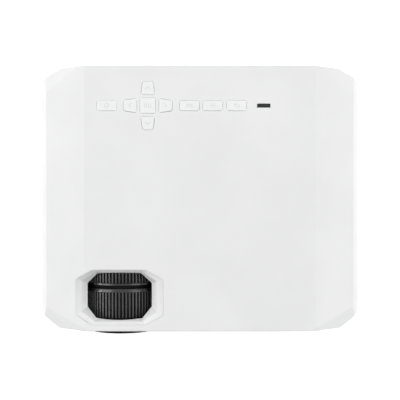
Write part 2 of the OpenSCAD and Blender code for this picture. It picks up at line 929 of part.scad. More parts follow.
module lens_barrel() color("black") {
    stop_t = 2;
    difference() {
        rod_y([lens_x, barrel_front_y, lens_z], barrel_r, barrel_l);
        translate([lens_x, barrel_front_y - 0.01, lens_z])
            rotate([-90, 0, 0]) cylinder(h = 5, r1 = barrel_r - 0.9, r2 = barrel_in_r);
        rod_y([lens_x, barrel_front_y - 1, lens_z], barrel_in_r, 14);
        rod_y([lens_x, barrel_front_y - 1, lens_z], barrel_in_r - stop_t, barrel_l + 2);
        rod_y([lens_x, barrel_front_y + 30, lens_z], barrel_in_r, barrel_l);
    }
}

// Half outline of a lens of radius r and thickness t, its faces arcs of radius ball
function lens_pts(r, t, ball, steps = 10) = let (rim = asin(r / ball)) concat(
    [for (k = [0:steps]) let (a = rim * k / steps) [ball * sin(a), ball * (1 - cos(a))]],
    [for (k = [steps:-1:0]) let (a = rim * k / steps) [ball * sin(a), t - ball * (1 - cos(a))]]
);

module lens(p, r, t, ball) {
    translate(p) rotate([-90, 0, 0]) rotate_extrude() polygon(lens_pts(r, t, ball));
}

module front_lens() color("lightblue", 0.6) lens([lens_x, barrel_front_y + 5.6, lens_z], lens_r, 7.3, 110);
module rear_lens() color("lightblue", 0.6) lens([lens_x, barrel_front_y + 30.1, lens_z], lens_r, 9, 80);

// ---- Optical engine ----

module engine_housing() color("dimgray") {
    x0 = lens_x - engine_w / 2;
    x1 = lens_x + engine_w / 2;
    difference() {
        box([x0, tube_back_y, engine_z], [x1, engine_y1, engine_z + engine_h]);
        box(
            [x0 + engine_wall, tube_back_y + engine_wall, engine_z + engine_wall],
            [x1 - engine_wall, engine_y1 - engine_wall, engine_z + engine_h - engine_wall]
        );
        rod_y([lens_x, tube_back_y - 1, lens_z], light_r, engine_wall + 2);
        box(
            [lens_x - led_hole / 2, engine_y1 - engine_wall - 1, lens_z - led_hole / 2],
            [lens_x + led_hole / 2, engine_y1 + 1, lens_z + led_hole / 2]
        );
        rod_x([x0 - 1, lcd_y, lens_z], lcd_pin_r + fit, engine_w + 2);
        rod_x([x1 - engine_wall - 1, lcd_fan_y, lens_z], lcd_fan_r - 4, engine_wall + 2);
    }
    // Ledges over and under the two Fresnel lenses
    for (y = [lcd_y - fresnel_gap - fresnel_t, lcd_y + fresnel_gap])
        for (z = [lens_z - engine_h / 2 + 1, lens_z + lcd_h / 2 + seat])
            box(
                [lens_x - lcd_w / 2, y, z],
                [lens_x + lcd_w / 2, y + fresnel_t, z + (engine_h - lcd_h) / 2 - 1 - seat]
            );
    // Wall that carries the condenser
    difference() {
        box(
            [x0 + 1, condenser_y - 2, engine_z + 1],
            [x1 - 1, condenser_y, engine_z + engine_h - 1]
        );
        rod_y([lens_x, condenser_y - 3, lens_z], condenser_r - 3, 4);
    }
}

module lcd_frame() color("black") {
    lw = lcd_w - 2;
    difference() {
        union() {
            translate([lens_x, lcd_y, lens_z]) cube([lw, lcd_t, lcd_h], center = true);
            rod_x([lens_x - engine_w / 2 + 0.5, lcd_y, lens_z], lcd_pin_r, engine_w - 1);
        }
        translate([lens_x, lcd_y, lens_z])
            cube([lw - 2 * lcd_rim, lcd_t + 2, lcd_h - 2 * lcd_rim], center = true);
    }
}

module lcd_panel() color("steelblue") {
    translate([lens_x, lcd_y, lens_z])
        cube([lcd_w - 2 - 2 * lcd_rim - 2 * seat, lcd_t - 1, lcd_h - 2 * lcd_rim - 2 * seat], center = true);
}

module fresnel_lenses() color("lightblue", 0.5) {
    for (y = [lcd_y - fresnel_gap - fresnel_t, lcd_y + fresnel_gap])
        translate([lens_x, y + fresnel_t / 2, lens_z])
            cube([lcd_w, fresnel_t, lcd_h], center = true);
}

module condenser_lens() color("lightblue", 0.5) {
    p = [lens_x, condenser_y, lens_z];
    intersection() {
        rod_y(p, condenser_r, condenser_t);
        translate(p + [0, condenser_t - 32, 0]) sphere(32, $fn = 128);
    }
}

module led_board() color("silver") {
    translate([lens_x, engine_y1 + led_t / 2, lens_z])
        cube([led_w, led_t, led_w], center = true);
    translate([lens_x, engine_y1 - 0.5, lens_z])
        cube([led_hole - 6, 1, led_hole - 6], center = true);
}

module heat_sink() color("silver") {
    y0 = engine_y1 + led_t;
    pitch = (sink_w - fin_t) / (sink_fins - 1);
    translate([lens_x - sink_w / 2, y0, lens_z - sink_h / 2]) {
        cube([sink_w, sink_base_t, sink_h]);
        for (i = [0:sink_fins - 1])
            translate([i * pitch, 0, 0]) cube([fin_t, sink_l, sink_h]);
    }
}

// ---- Fans, with their shaft along Z ----

module fan_frame(s, t, r) {
    hub = 0.42 * r;
    difference() {
        linear_extrude(t) polygon(rounded(box_pts(s, s), 3));
        difference() {
            translate([0, 0, -1]) cylinder(r = r, h = t + 2);
            translate([0, 0, -2]) cylinder(r = hub, h = 4);
            for (i = [0:3])
                rotate([0, 0, 45 + 90 * i]) translate([0, -1.5, 0]) cube([r + 1, 3, 2]);
        }
        for (x = [-1, 1], y = [-1, 1])
            translate([x * (s / 2 - 4), y * (s / 2 - 4), -1]) cylinder(r = 1.7, h = t + 2);
    }
    cylinder(r = fan_shaft_r, h = t - 3);
}

module fan_rotor(t, r) {
    hub = 0.42 * r;
    gap = 0.6;
    difference() {
        union() {
            translate([0, 0, 2 + gap]) cylinder(r = hub, h = t - 2.6 - gap);
            intersection() {
                translate([0, 0, 2 + gap]) cylinder(r = r - 0.8, h = t - 2.6 - gap);
                for (i = [0:blades - 1])
                    rotate([0, 0, i * 360 / blades])
                        translate([hub - 1.5, 0, t / 2])
                            rotate([38, 0, 0])
                                translate([0, -t, -0.6]) cube([r, 2 * t, 1.2]);
            }
        }
        translate([0, 0, -1]) cylinder(r = fan_shaft_r + fit, h = t - 1.6);
    }
}

module at_exhaust_fan() {
    translate([lens_x, exhaust_y, lens_z]) rotate([-90, 0, 0]) children();
}

module at_lcd_fan() {
    translate([lens_x + engine_w / 2 + lcd_fan_t, lcd_fan_y, lens_z]) rotate([0, -90, 0]) children();
}

module exhaust_fan_frame() color("black") at_exhaust_fan() fan_frame(exhaust_s, exhaust_t, exhaust_r);
module exhaust_fan_rotor() color("dimgray") at_exhaust_fan() fan_rotor(exhaust_t, exhaust_r);
module lcd_fan_frame() color("black") at_lcd_fan() fan_frame(lcd_fan_s, lcd_fan_t, lcd_fan_r);
module lcd_fan_rotor() color("dimgray") at_lcd_fan() fan_rotor(lcd_fan_t, lcd_fan_r);

// ---- Boards and connectors ----

module main_board() color("darkgreen") {
    box([main_x0, main_y0, main_z], [main_x1, main_y1, main_z + board_t]);
    translate([chip_x, chip_y, main_z + board_t]) cube([26, 26, 2.2], center = true);
    translate([chip_x, chip_y, main_z + board_t + 3.4]) cube([22, 22, 4.6], center = true);
    translate([chip_x + 40, chip_y + 2, main_z + board_t]) cube([14, 20, 2.4], center = true);
    translate([chip_x - 34, chip_y - 4, main_z + board_t]) cube([10, 10, 3], center = true);
}

// Metal shell w by h with a tongue in it, its mouth in the rear wall
module plug_socket(x, w, h, tongue) {
    z = main_z + board_t;
    y1 = half_d - 0.5;
    difference() {
        box([x - w / 2, y1 - socket_l, z], [x + w / 2, y1, z + h]);
        box(
            [x - w / 2 + socket_wall, y1 - socket_l + 3, z + socket_wall],
            [x + w / 2 - socket_wall, y1 + 1, z + h - socket_wall]
        );
    }
    box([x - w / 2 + 2.6, y1 - socket_l + 2, z + h / 2 - tongue], [x + w / 2 - 2.6, y1 - 2.5, z + h / 2]);
}

module round_socket(x) {
    z = main_z + board_t;
    y1 = half_d - 0.5;
    difference() {
        union() {
            box([x - jack_s / 2, y1 - socket_l, z], [x + jack_s / 2, y1 - 3.5, z + jack_s]);
            rod_y([x, y1 - 4, z + jack_s / 2], jack_s / 2 - 0.6, 4);
        }
        rod_y([x, y1 - socket_l + 2, z + jack_s / 2], jack_r, socket_l);
    }
}

// D-shaped socket with its row of pin holes as one slot
module wide_socket(x) {
    z = main_z + board_t;
    y1 = half_d - 0.5;
    difference() {
        box([x - vga_w / 2, y1 - socket_l, z], [x + vga_w / 2, y1 - 1, z + vga_h]);
        box([x - 8.2, y1 - 6, z + 2.2], [x + 8.2, y1, z + vga_h - 2.2]);
        for (s = [-1, 1])
            rod_y([x + s * 12.5, y1 - 8, z + vga_h / 2], 1.5, 9);
    }
    box([x - 7.4, y1 - 8, z + 3], [x + 7.4, y1 - 1, z + vga_h - 3]);
}

module sockets() color("silver") {
    for (x = jack_x)
        round_socket(x);
    for (x = hdmi_x)
        plug_socket(x, hdmi_w, hdmi_h, 1.6);
    plug_socket(usb_x, usb_w, usb_h, 2);
    wide_socket(vga_x);
}

// The holes that the connectors need in the rear panel
module socket_outlines(gap) {
    z = main_z + board_t;
    y0 = rear_y - flange_t - 1;
    for (x = jack_x)
        box([x - jack_s / 2 - gap, y0, z - gap], [x + jack_s / 2 + gap, half_d + 1, z + jack_s + gap]);
    for (x = hdmi_x)
        box([x - hdmi_w / 2 - gap, y0, z - gap], [x + hdmi_w / 2 + gap, half_d + 1, z + hdmi_h + gap]);
    box([usb_x - usb_w / 2 - gap, y0, z - gap], [usb_x + usb_w / 2 + gap, half_d + 1, z + usb_h + gap]);
    box([vga_x - vga_w / 2 - gap, y0, z - gap], [vga_x + vga_w / 2 + gap, half_d + 1, z + vga_h + gap]);
}

module power_board() color("darkgreen") {
    z = power_z + board_t;
    box([power_x0, power_y0, power_z], [power_x1, power_y1, z]);
    box([power_x0 + 26, power_y0 + 20, z], [power_x0 + 50, power_y0 + 44, z + 13]);
    for (x = [power_x0 + 12, power_x1 - 8])
        post(x, power_y0 + 22, z, z + 14, 5);
    box([power_x0 + 6, power_y1 - 16, z], [power_x0 + 20, power_y1 - 4, z + 10]);
}

module power_inlet() color("black") {
    y1 = half_d;
    y0 = y1 - inlet_l;
    pin_off = 4.3;
    difference() {
        box(
            [inlet_x - inlet_w / 2 + seat, y0, inlet_z - inlet_h / 2 + seat],
            [inlet_x + inlet_w / 2 - seat, y1, inlet_z + inlet_h / 2 - seat]
        );
        for (s = [-1, 1])
            rod_y([inlet_x + s * pin_off, y0 + 5, inlet_z], 4, inlet_l);
        box([inlet_x - pin_off, y0 + 5, inlet_z - 2.6], [inlet_x + pin_off, y1 + 1, inlet_z + 2.6]);
    }
    for (s = [-1, 1])
        rod_y([inlet_x + s * pin_off, y0 + 2, inlet_z], 1.2, inlet_l - 4);
}

module speakers() color("black") {
    y0 = front_y + flange_t;
    for (x = speaker_x) {
        difference() {
            union() {
                rod_y([x, y0, speaker_z], speaker_r, 3);
                translate([x, y0 + 3, speaker_z])
                    rotate([-90, 0, 0]) cylinder(r1 = speaker_r - 2, r2 = 9, h = speaker_l - 8);
                rod_y([x, y0 + 3, speaker_z], 9, speaker_l - 3);
            }
            translate([x, y0 - 0.01, speaker_z])
                rotate([-90, 0, 0]) cylinder(r1 = speaker_r - 3, r2 = 6, h = 7);
        }
        translate([x, y0 + 5.5, speaker_z]) sphere(5);
    }
}

// ---- Disc drive ----

module drive_case() color("silver") {
    difference() {
        box(
            [drive_x0, drive_y - drive_w / 2, drive_z],
            [drive_x1, drive_y + drive_w / 2, drive_top]
        );
        box(
            [drive_x0 + drive_sheet, drive_y - drive_in_w / 2, drive_z + drive_sheet],
            [drive_x1 + 1, drive_y + drive_in_w / 2, drive_top - drive_sheet]
        );
    }
}

module runner(side) {
    y = drive_y + side * (runner_y + runner_t / 2);
    box([runner_x0, y - runner_t / 2, runner_z], [runner_x0 + runner_l, y + runner_t / 2, runner_z + runner_h]);
}

module runner_front() color("gray") runner(-1);
module runner_rear() color("gray") runner(1);

// Frame of the pickup: its origin on the spindle axis, X outwards along the sled's way
module at_pickup() {
    translate([disc_x, drive_y, 0]) rotate([0, 0, sled_angle]) children();
}

module pickup_slot(z0, z1) {
    at_pickup()
        box(
            [spindle_r + 2, -slot_half, z0],
            [lens_at + sled_travel + turret_r + 0.5, slot_half, z1]
        );
}

module disc_tray() color("dimgray") {
    difference() {
        union() {
            box([tray_x0, drive_y - tray_w / 2, tray_low_z], [tray_x1, drive_y + tray_w / 2, tray_top]);
            for (s = [-1, 1])
                translate([tray_x0, drive_y + s * (rib_y + rib_t / 2) - rib_t / 2, rib_low])
                    cube([tray_x1 - tray_x0, rib_t, tray_low_z - rib_low + 0.5]);
        }
        post(disc_x, drive_y, tray_floor_z, tray_top + 1, disc_d / 2 + 0.75);
        post(disc_x, drive_y, tray_low_z - 1, tray_floor_z + 1, hub_flange_r + 1);
        pickup_slot(tray_low_z - 1, tray_floor_z + 1);
    }
}

module tray_bezel() color("white") {
    difference() {
        box(
            [tray_x1, drive_y - bezel_w / 2, bezel_z - bezel_h / 2],
            [half_w, drive_y + bezel_w / 2, bezel_z + bezel_h / 2]
        );
        box(
            [tray_x1 - 1, eject_y - eject_w / 2, eject_z - eject_h / 2],
            [half_w + 1, eject_y + eject_w / 2, eject_z + eject_h / 2]
        );
        rod_x([tray_x1 - 1, eject_y + eject_w / 2 + 6, eject_z], 0.8, bezel_t + 2);
    }
}

module eject_button() color("white") {
    box(
        [tray_x1 - slip - 1, eject_y - eject_w / 2 + slip, eject_z - eject_h / 2 + slip],
        [half_w, eject_y + eject_w / 2 - slip, eject_z + eject_h / 2 - slip]
    );
    box(
        [tray_x1 - slip - eject_lip, eject_y - eject_w / 2 - eject_lip, eject_z - eject_h / 2 - eject_lip],
        [tray_x1 - slip, eject_y + eject_w / 2 + eject_lip, eject_z + eject_h / 2 + eject_lip]
    );
}

// Lug under the deck, with its bore for a rod or the screw
module lug(x, y, r) {
    difference() {
        box([x, y - lug_w / 2, sled_z + 0.3], [x + lug_t, y + lug_w / 2, deck_z + 0.5]);
        rod_x([x - 1, y, rod_z], r, lug_t + 2);
    }
}

module drive_deck() color("silver") {
    difference() {
        box([tray_x0 + 3, drive_y - deck_w / 2, deck_z], [disc_x + 26, drive_y + deck_w / 2, tray_low_z]);
        post(disc_x, drive_y, deck_z - 1, tray_low_z + 1, shaft_r + 2);
        pickup_slot(deck_z - 1, tray_low_z + 1);
    }
    at_pickup() {
        for (s = [-1, 1]) {
            lug(sled_x0 - slip - lug_t, s * rod_off, rod_r + fit / 2);
            lug(rod_end, s * rod_off, rod_r + fit / 2);
        }
        lug(sled_x0 - slip - lug_t, lead_off, lead_r + fit);
        lug(lead_end, lead_off, lead_r + fit);
    }
}

module spindle_motor() color("silver") {
    post(disc_x, drive_y, deck_z - motor_h, deck_z, spindle_r);
    post(disc_x, drive_y, deck_z - 1, hub_top - 0.6, shaft_r);
}

module spindle_hub() color("dimgray") {
    z0 = tray_floor_z - hub_flange_t;
    difference() {
        union() {
            post(disc_x, drive_y, z0, tray_floor_z, hub_flange_r);
            post(disc_x, drive_y, z0, hub_top, hub_r - 0.3);
            for (i = [0:2])
                translate([disc_x, drive_y, tray_floor_z + 0.9])
                    rotate([0, 0, 120 * i]) translate([hub_r - 1, 0, 0]) sphere(0.9);
        }
        post(disc_x, drive_y, z0 - 1, hub_top - 0.4, shaft_r + fit);
    }
}

module pickup_sled() color("dimgray") {
    at_pickup()
        difference() {
            union() {
                box([sled_x0, -sled_w / 2, sled_z], [sled_x0 + sled_l, sled_w / 2, sled_z + sled_t]);
                box([sled_x0, 0, sled_z], [sled_x0 + 4, lead_off + 2.4, sled_z + sled_t]);
                post(lens_at, 0, sled_z, tray_floor_z - 0.8, turret_r);
            }
            post(lens_at, 0, tray_floor_z - 1.5, tray_floor_z, turret_r - 1.6);
            for (s = [-1, 1])
                rod_x([sled_x0 - 1, s * rod_off, rod_z], rod_r + fit, sled_l + 2);
            rod_x([sled_x0 - 1, lead_off, rod_z], lead_r + fit, sled_l);
        }
}

module guide_rods() color("silver") {
    at_pickup()
        for (s = [-1, 1])
            rod_x([sled_x0 - slip - lug_t, s * rod_off, rod_z], rod_r, rod_end - sled_x0 + slip + 2 * lug_t);
}

module lead_screw() color("silver") {
    at_pickup()
        rod_x([sled_x0 - slip - lug_t, lead_off, rod_z], lead_r, lead_end - sled_x0 + slip + 2 * lug_t);
}

// ---- Assembly ----

module placed() {
    translate([0, shift_y, 0]) children();
}

placed() top_cover();
placed() bottom_cover();
placed() lens_bezel();
placed() front_grille();
placed() rear_grille();
placed() side_grille();
placed() io_panel();
placed() status_window();
placed() rubber_feet();
placed() front_foot_pad();
placed() front_foot_screw();
placed() tripod_insert();
placed() cover_screws();
placed() key_power();
placed() key_left();
placed() key_ok();
placed() key_right();
placed() key_up();
placed() key_down();
placed() key_source();
placed() key_menu();
placed() key_back();
placed() key_board();
placed() key_switches();
placed() focus_ring();
placed() keystone_ring();
placed() lens_tube();
placed() lens_barrel();
placed() front_lens();
placed() rear_lens();
placed() engine_housing();
placed() lcd_frame();
placed() lcd_panel();
placed() fresnel_lenses();
placed() condenser_lens();
placed() led_board();
placed() heat_sink();
placed() exhaust_fan_frame();
placed() exhaust_fan_rotor();
placed() lcd_fan_frame();
placed() lcd_fan_rotor();
placed() main_board();
placed() sockets();
placed() power_board();
placed() power_inlet();
placed() speakers();
placed() drive_case();
placed() runner_front();
placed() runner_rear();
placed() disc_tray();
placed() tray_bezel();
placed() eject_button();
placed() drive_deck();
placed() spindle_motor();
placed() spindle_hub();
placed() pickup_sled();
placed() guide_rods();
placed() lead_screw();
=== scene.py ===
import json
import math

import bmesh
import bpy
from mathutils import Matrix, Vector


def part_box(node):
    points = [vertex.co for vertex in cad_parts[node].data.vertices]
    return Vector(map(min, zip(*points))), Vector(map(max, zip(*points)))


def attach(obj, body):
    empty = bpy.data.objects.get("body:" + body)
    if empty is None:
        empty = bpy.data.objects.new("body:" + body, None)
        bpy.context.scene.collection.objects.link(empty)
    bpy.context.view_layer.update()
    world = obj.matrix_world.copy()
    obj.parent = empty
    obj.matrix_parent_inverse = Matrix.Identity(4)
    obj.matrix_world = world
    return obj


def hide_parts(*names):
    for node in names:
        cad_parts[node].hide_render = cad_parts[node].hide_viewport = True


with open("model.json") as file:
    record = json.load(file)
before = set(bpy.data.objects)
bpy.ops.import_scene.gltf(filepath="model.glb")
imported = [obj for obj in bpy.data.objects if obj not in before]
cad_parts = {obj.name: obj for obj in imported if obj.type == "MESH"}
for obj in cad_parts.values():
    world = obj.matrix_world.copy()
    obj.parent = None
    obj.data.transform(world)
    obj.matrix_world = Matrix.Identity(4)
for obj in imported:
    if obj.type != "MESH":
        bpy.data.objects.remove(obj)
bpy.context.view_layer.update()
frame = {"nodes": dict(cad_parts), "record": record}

bl_info = {
    "name": "Disc Projector",
    "version": (1, 0, 0),
    "blender": (4, 5, 0),
    "location": "View3D > Sidebar > Projector",
    "description": "Dresses a small home projector with a disc drive: shells, rings, keys, tray, sockets",
    "category": "Add Mesh",
}

NODES = frame["nodes"]
MM = 0.001
TOP_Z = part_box("top_cover")[1][2]
RING_LOW, RING_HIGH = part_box("focus_ring")
BACK_RING_LOW, BACK_RING_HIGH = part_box("keystone_ring")
BARREL_LOW, BARREL_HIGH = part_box("lens_barrel")
LENS_X = (RING_LOW[0] + RING_HIGH[0]) / 2
LENS_Z = (RING_LOW[2] + RING_HIGH[2]) / 2
RING_RADIUS = (RING_HIGH[0] - RING_LOW[0]) / 2
# The top is flat between -SLOPE_EDGE and SLOPE_EDGE, and falls off at both sides
SLOPE_EDGE = 90 * MM
SLOPE_FALL = 21 / 34
# Edge angles in radians: a square edge's is above SQUARE, and a body edge's above FOLD
SQUARE = 1.0
FOLD = 0.12
# Slack for points that lie at a level
HAIR = 0.01 * MM


# ---- Settings ----

class ShellSettings(bpy.types.PropertyGroup):
    """Sizes and colours of the white shells."""

    colour: bpy.props.FloatVectorProperty(
        name="Shell Colour", description="Colour of the white shells", subtype="COLOR",
        size=3, min=0, max=1, default=(0.865, 0.866, 0.869),
    )
    edge: bpy.props.FloatProperty(
        name="Edge Rounding", description="Width of the rounding along the body's edges",
        default=0.8 * MM, min=0.2 * MM, max=0.9 * MM, unit="LENGTH",
    )
    lip: bpy.props.FloatProperty(
        name="Lip Rounding", description="Width of the rounding round holes and along the seam",
        default=0.25 * MM, min=0.05 * MM, max=0.6 * MM, unit="LENGTH",
    )
    grain: bpy.props.FloatProperty(
        name="Grain Size", description="Distance between the grains of the moulded surface",
        default=0.5 * MM, min=0.1 * MM, max=3 * MM, unit="LENGTH",
    )
    mesh_step: bpy.props.FloatProperty(
        name="Mesh Step", description="Distance between the wires of the dust mesh",
        default=1.6 * MM, min=1 * MM, max=6 * MM, unit="LENGTH",
    )


class LensSettings(bpy.types.PropertyGroup):
    """Sizes and colours of the ribbed rings and the lens barrel."""

    colour: bpy.props.FloatVectorProperty(
        name="Ring Colour", description="Colour of the ribbed rings and the hood", subtype="COLOR",
        size=3, min=0, max=1, default=(0.012, 0.012, 0.013),
    )
    ribs: bpy.props.IntProperty(
        name="Ribs", description="Number of ribs on each ring", default=76, min=24, max=120,
    )
    rib_height: bpy.props.FloatProperty(
        name="Rib Height", description="Height of the ribs over the ring", default=0.9 * MM,
        min=0.3 * MM, max=1.5 * MM, unit="LENGTH",
    )


class KeySettings(bpy.types.PropertyGroup):
    """Sizes and colours of the keypad."""

    colour: bpy.props.FloatVectorProperty(
        name="Key Colour", description="Colour of the key caps", subtype="COLOR",
        size=3, min=0, max=1, default=(0.9, 0.903, 0.91),
    )
    icon_colour: bpy.props.FloatVectorProperty(
        name="Icon Colour", description="Colour of the printed icons", subtype="COLOR",
        size=3, min=0, max=1, default=(0.76, 0.76, 0.77),
    )
    icon_line: bpy.props.FloatProperty(
        name="Icon Line", description="Width of the lines of the icons", default=0.5 * MM,
        min=0.2 * MM, max=1 * MM, unit="LENGTH",
    )


class DriveSettings(bpy.types.PropertyGroup):
    """Colours of the disc drive."""

    tray_colour: bpy.props.FloatVectorProperty(
        name="Tray Colour", description="Colour of the disc tray", subtype="COLOR",
        size=3, min=0, max=1, default=(0.028, 0.028, 0.031),
    )


class StageSettings(bpy.types.PropertyGroup):
    """Camera, floor and lamps."""

    height: bpy.props.FloatProperty(
        name="Camera Height", description="Height of the camera over the floor", default=0.75,
        min=0.3, max=3, unit="LENGTH",
    )
    focal: bpy.props.FloatProperty(
        name="Focal Length", description="Focal length of the camera in millimetres",
        default=74.9, min=20, max=200,
    )
    aim_x: bpy.props.FloatProperty(
        name="Camera X", description="Sideways place of the camera", default=0.2 * MM,
        min=-0.1, max=0.1, unit="LENGTH",
    )
    aim_y: bpy.props.FloatProperty(
        name="Camera Y", description="Place of the camera, front to back", default=0.55 * MM,
        min=-0.1, max=0.1, unit="LENGTH",
    )
    floor_colour: bpy.props.FloatVectorProperty(
        name="Floor Colour", description="Colour of the floor", subtype="COLOR",
        size=3, min=0, max=1, default=(0.72, 0.72, 0.72),
    )
    lamp_power: bpy.props.FloatProperty(
        name="Lamp Power", description="Factor on the power of the lamps", default=1.0, min=0, max=5,
    )


# ---- Materials ----

class Finish:
    """A material under construction: its node tree, its shader and short ways to add nodes."""

    def __init__(self, name):
        self.material = bpy.data.materials.new(name)
        self.material.use_nodes = True
        self.tree = self.material.node_tree
        self.shader = self.tree.nodes["Principled BSDF"]
        self.coords = self.tree.nodes.new("ShaderNodeTexCoord")

    def node(self, kind, **values):
        """A new node with its settings."""
        made = self.tree.nodes.new(kind)
        for key, value in values.items():
            setattr(made, key, value)
        return made

    def link(self, out, into):
        """Links an output to an input."""
        self.tree.links.new(out, into)

    def put(self, socket, value):
        """Links a socket to another one, or sets it to a plain number or colour."""
        if isinstance(value, bpy.types.NodeSocket):
            self.link(value, socket)
        elif hasattr(value, "__len__"):
            socket.default_value = (*value, 1)
        else:
            socket.default_value = value

    def set(self, **values):
        """Sets the shader's own inputs."""
        for key, value in values.items():
            self.put(self.shader.inputs[key.replace("_", " ")], value)

    def stretched(self, scale):
        """Object coordinates, stretched on each axis."""
        mapping = self.node("ShaderNodeMapping")
        mapping.inputs["Scale"].default_value = scale
        self.link(self.coords.outputs["Object"], mapping.inputs["Vector"])
        return mapping.outputs["Vector"]

    def noise(self, size, detail=2.0, rough=0.5):
        """Noise whose lumps are size metres apart."""
        made = self.node("ShaderNodeTexNoise")
        made.inputs["Scale"].default_value = 1 / size
        made.inputs["Detail"].default_value = detail
        made.inputs["Roughness"].default_value = rough
        self.link(self.coords.outputs["Object"], made.inputs["Vector"])
        return made.outputs["Fac"]

    def ramp(self, value, low, high, at=(0.35, 0.65)):
        """Colours or greys between low and high as value goes through at."""
        made = self.node("ShaderNodeValToRGB")
        stops = made.color_ramp.elements
        for stop, where, shade in zip(stops, at, (low, high)):
            stop.position = where
            stop.color = (*shade, 1) if hasattr(shade, "__len__") else (shade, shade, shade, 1)
        self.link(value, made.inputs["Fac"])
        return made.outputs["Color"]

    def mix(self, factor, first, second):
        """Mix of two colours, each a socket or a plain colour."""
        made = self.node("ShaderNodeMix", data_type="RGBA")
        # A colour mix has its factor in socket 0 and its colours in 6 and 7
        for place, value in ((0, factor), (6, first), (7, second)):
            self.put(made.inputs[place], value)
        return made.outputs[2]

    def bump(self, height, depth, strength=1.0, after=None):
        """Bump of a height, depth metres deep, on top of another normal."""
        made = self.node("ShaderNodeBump")
        made.inputs["Distance"].default_value = depth
        made.inputs["Strength"].default_value = strength
        self.link(height, made.inputs["Height"])
        if after:
            self.link(after, made.inputs["Normal"])
        return made.outputs["Normal"]


def tinted(colour, factor):
    """A colour made darker or lighter by a factor."""
    return tuple(min(1.0, c * factor) for c in colour)


def moulded_plastic(name, colour, grain, rough=0.5, depth=0.02 * MM, spread=0.02, shine=0.1):
    """Moulded plastic: fine grain, faint clouds in the colour and the gloss, paler rubbed edges."""
    finish = Finish(name)
    clouds = finish.ramp(finish.noise(60 * MM, 3), tinted(colour, 1 - spread), tinted(colour, 1 + spread))
    geometry = finish.node("ShaderNodeNewGeometry")
    # Pointiness is 0.5 on a flat face and higher on an edge that stands out
    rubbed = finish.ramp(geometry.outputs["Pointiness"], 0.0, 0.35, (0.54, 0.62))
    body = finish.mix(rubbed, clouds, tinted(colour, 1.05))
    gloss = finish.ramp(finish.noise(9 * MM, 4), rough - 0.05, rough + 0.05)
    fine = finish.noise(grain, 2, 0.6)
    waves = finish.noise(14 * MM, 1)
    normal = finish.bump(fine, depth, 0.6, finish.bump(waves, 0.05 * MM, 0.25))
    finish.set(Base_Color=body, Roughness=gloss, Normal=normal, IOR=1.5, Specular_IOR_Level=shine)
    return finish.material


def glossy_plastic(name, colour, rough=0.2, coat=0.0):
    """Smooth plastic with faint smears, under a clear coat where coat is above zero."""
    finish = Finish(name)
    tone = finish.ramp(finish.noise(25 * MM, 2), tinted(colour, 0.97), tinted(colour, 1.03))
    smears = finish.ramp(finish.noise(5 * MM, 5, 0.65), rough - 0.05, rough + 0.08)
    normal = finish.bump(finish.noise(2 * MM, 2), 0.01 * MM, 0.4)
    finish.set(Base_Color=tone, Roughness=smears, Normal=normal, IOR=1.5)
    if coat:
        finish.set(Coat_Weight=coat, Coat_Roughness=smears, Coat_IOR=1.7, Coat_Normal=normal)
    return finish.material


def soft_rubber(name, colour):
    """Dull rubber with a coarse bloom."""
    finish = Finish(name)
    tone = finish.ramp(finish.noise(3 * MM, 4), tinted(colour, 0.8), tinted(colour, 1.25))
    normal = finish.bump(finish.noise(0.35 * MM, 3), 0.05 * MM, 0.8)
    rough = finish.ramp(finish.noise(4 * MM, 3), 0.72, 0.9)
    finish.set(Base_Color=tone, Roughness=rough, Normal=normal, Specular_IOR_Level=0.3)
    return finish.material


def brushed_metal(name, colour, rough=0.28):
    """Metal with fine scratches in its colour and its surface."""
    finish = Finish(name)
    lines = finish.noise(0.6 * MM, 3, 0.6)
    tone = finish.ramp(lines, tinted(colour, 0.9), tinted(colour, 1.05))
    gloss = finish.ramp(finish.noise(8 * MM, 3), rough - 0.06, rough + 0.1)
    finish.set(Base_Color=tone, Roughness=gloss, Metallic=1.0, Normal=finish.bump(lines, 0.01 * MM, 0.5))
    return finish.material


def coated_glass(name, colour, rough=0.02):
    """Lens glass with a faint purple and green coating that shows at shallow angles."""
    finish = Finish(name)
    facing = finish.node("ShaderNodeLayerWeight")
    facing.inputs["Blend"].default_value = 0.4
    tint = finish.ramp(facing.outputs["Facing"], colour, (0.55, 0.62, 0.9), (0.2, 0.9))
    dust = finish.ramp(finish.noise(1.5 * MM, 5, 0.7), rough, rough + 0.06, (0.5, 0.75))
    finish.set(Base_Color=tint, Roughness=dust, IOR=1.52, Transmission_Weight=0.9)
    finish.set(Coat_Weight=0.6, Coat_Roughness=0.02)
    return finish.material


def circuit_board(name, colour):
    """Solder mask with tracks that run square to each other."""
    finish = Finish(name)
    bricks = finish.node("ShaderNodeTexBrick")
    bricks.inputs["Scale"].default_value = 90
    bricks.inputs["Mortar Size"].default_value = 0.03
    bricks.inputs["Color1"].default_value = (*tinted(colour, 0.9), 1)
    bricks.inputs["Color2"].default_value = (*tinted(colour, 1.1), 1)
    bricks.inputs["Mortar"].default_value = (*tinted(colour, 1.9), 1)
    finish.link(finish.stretched((1, 1.6, 1)), bricks.inputs["Vector"])
    normal = finish.bump(bricks.outputs["Fac"], 0.03 * MM, 0.5)
    rough = finish.ramp(finish.noise(6 * MM, 3), 0.25, 0.4)
    finish.set(Base_Color=bricks.outputs["Color"], Roughness=rough, Normal=normal)
    return finish.material


# ---- Mesh helpers ----

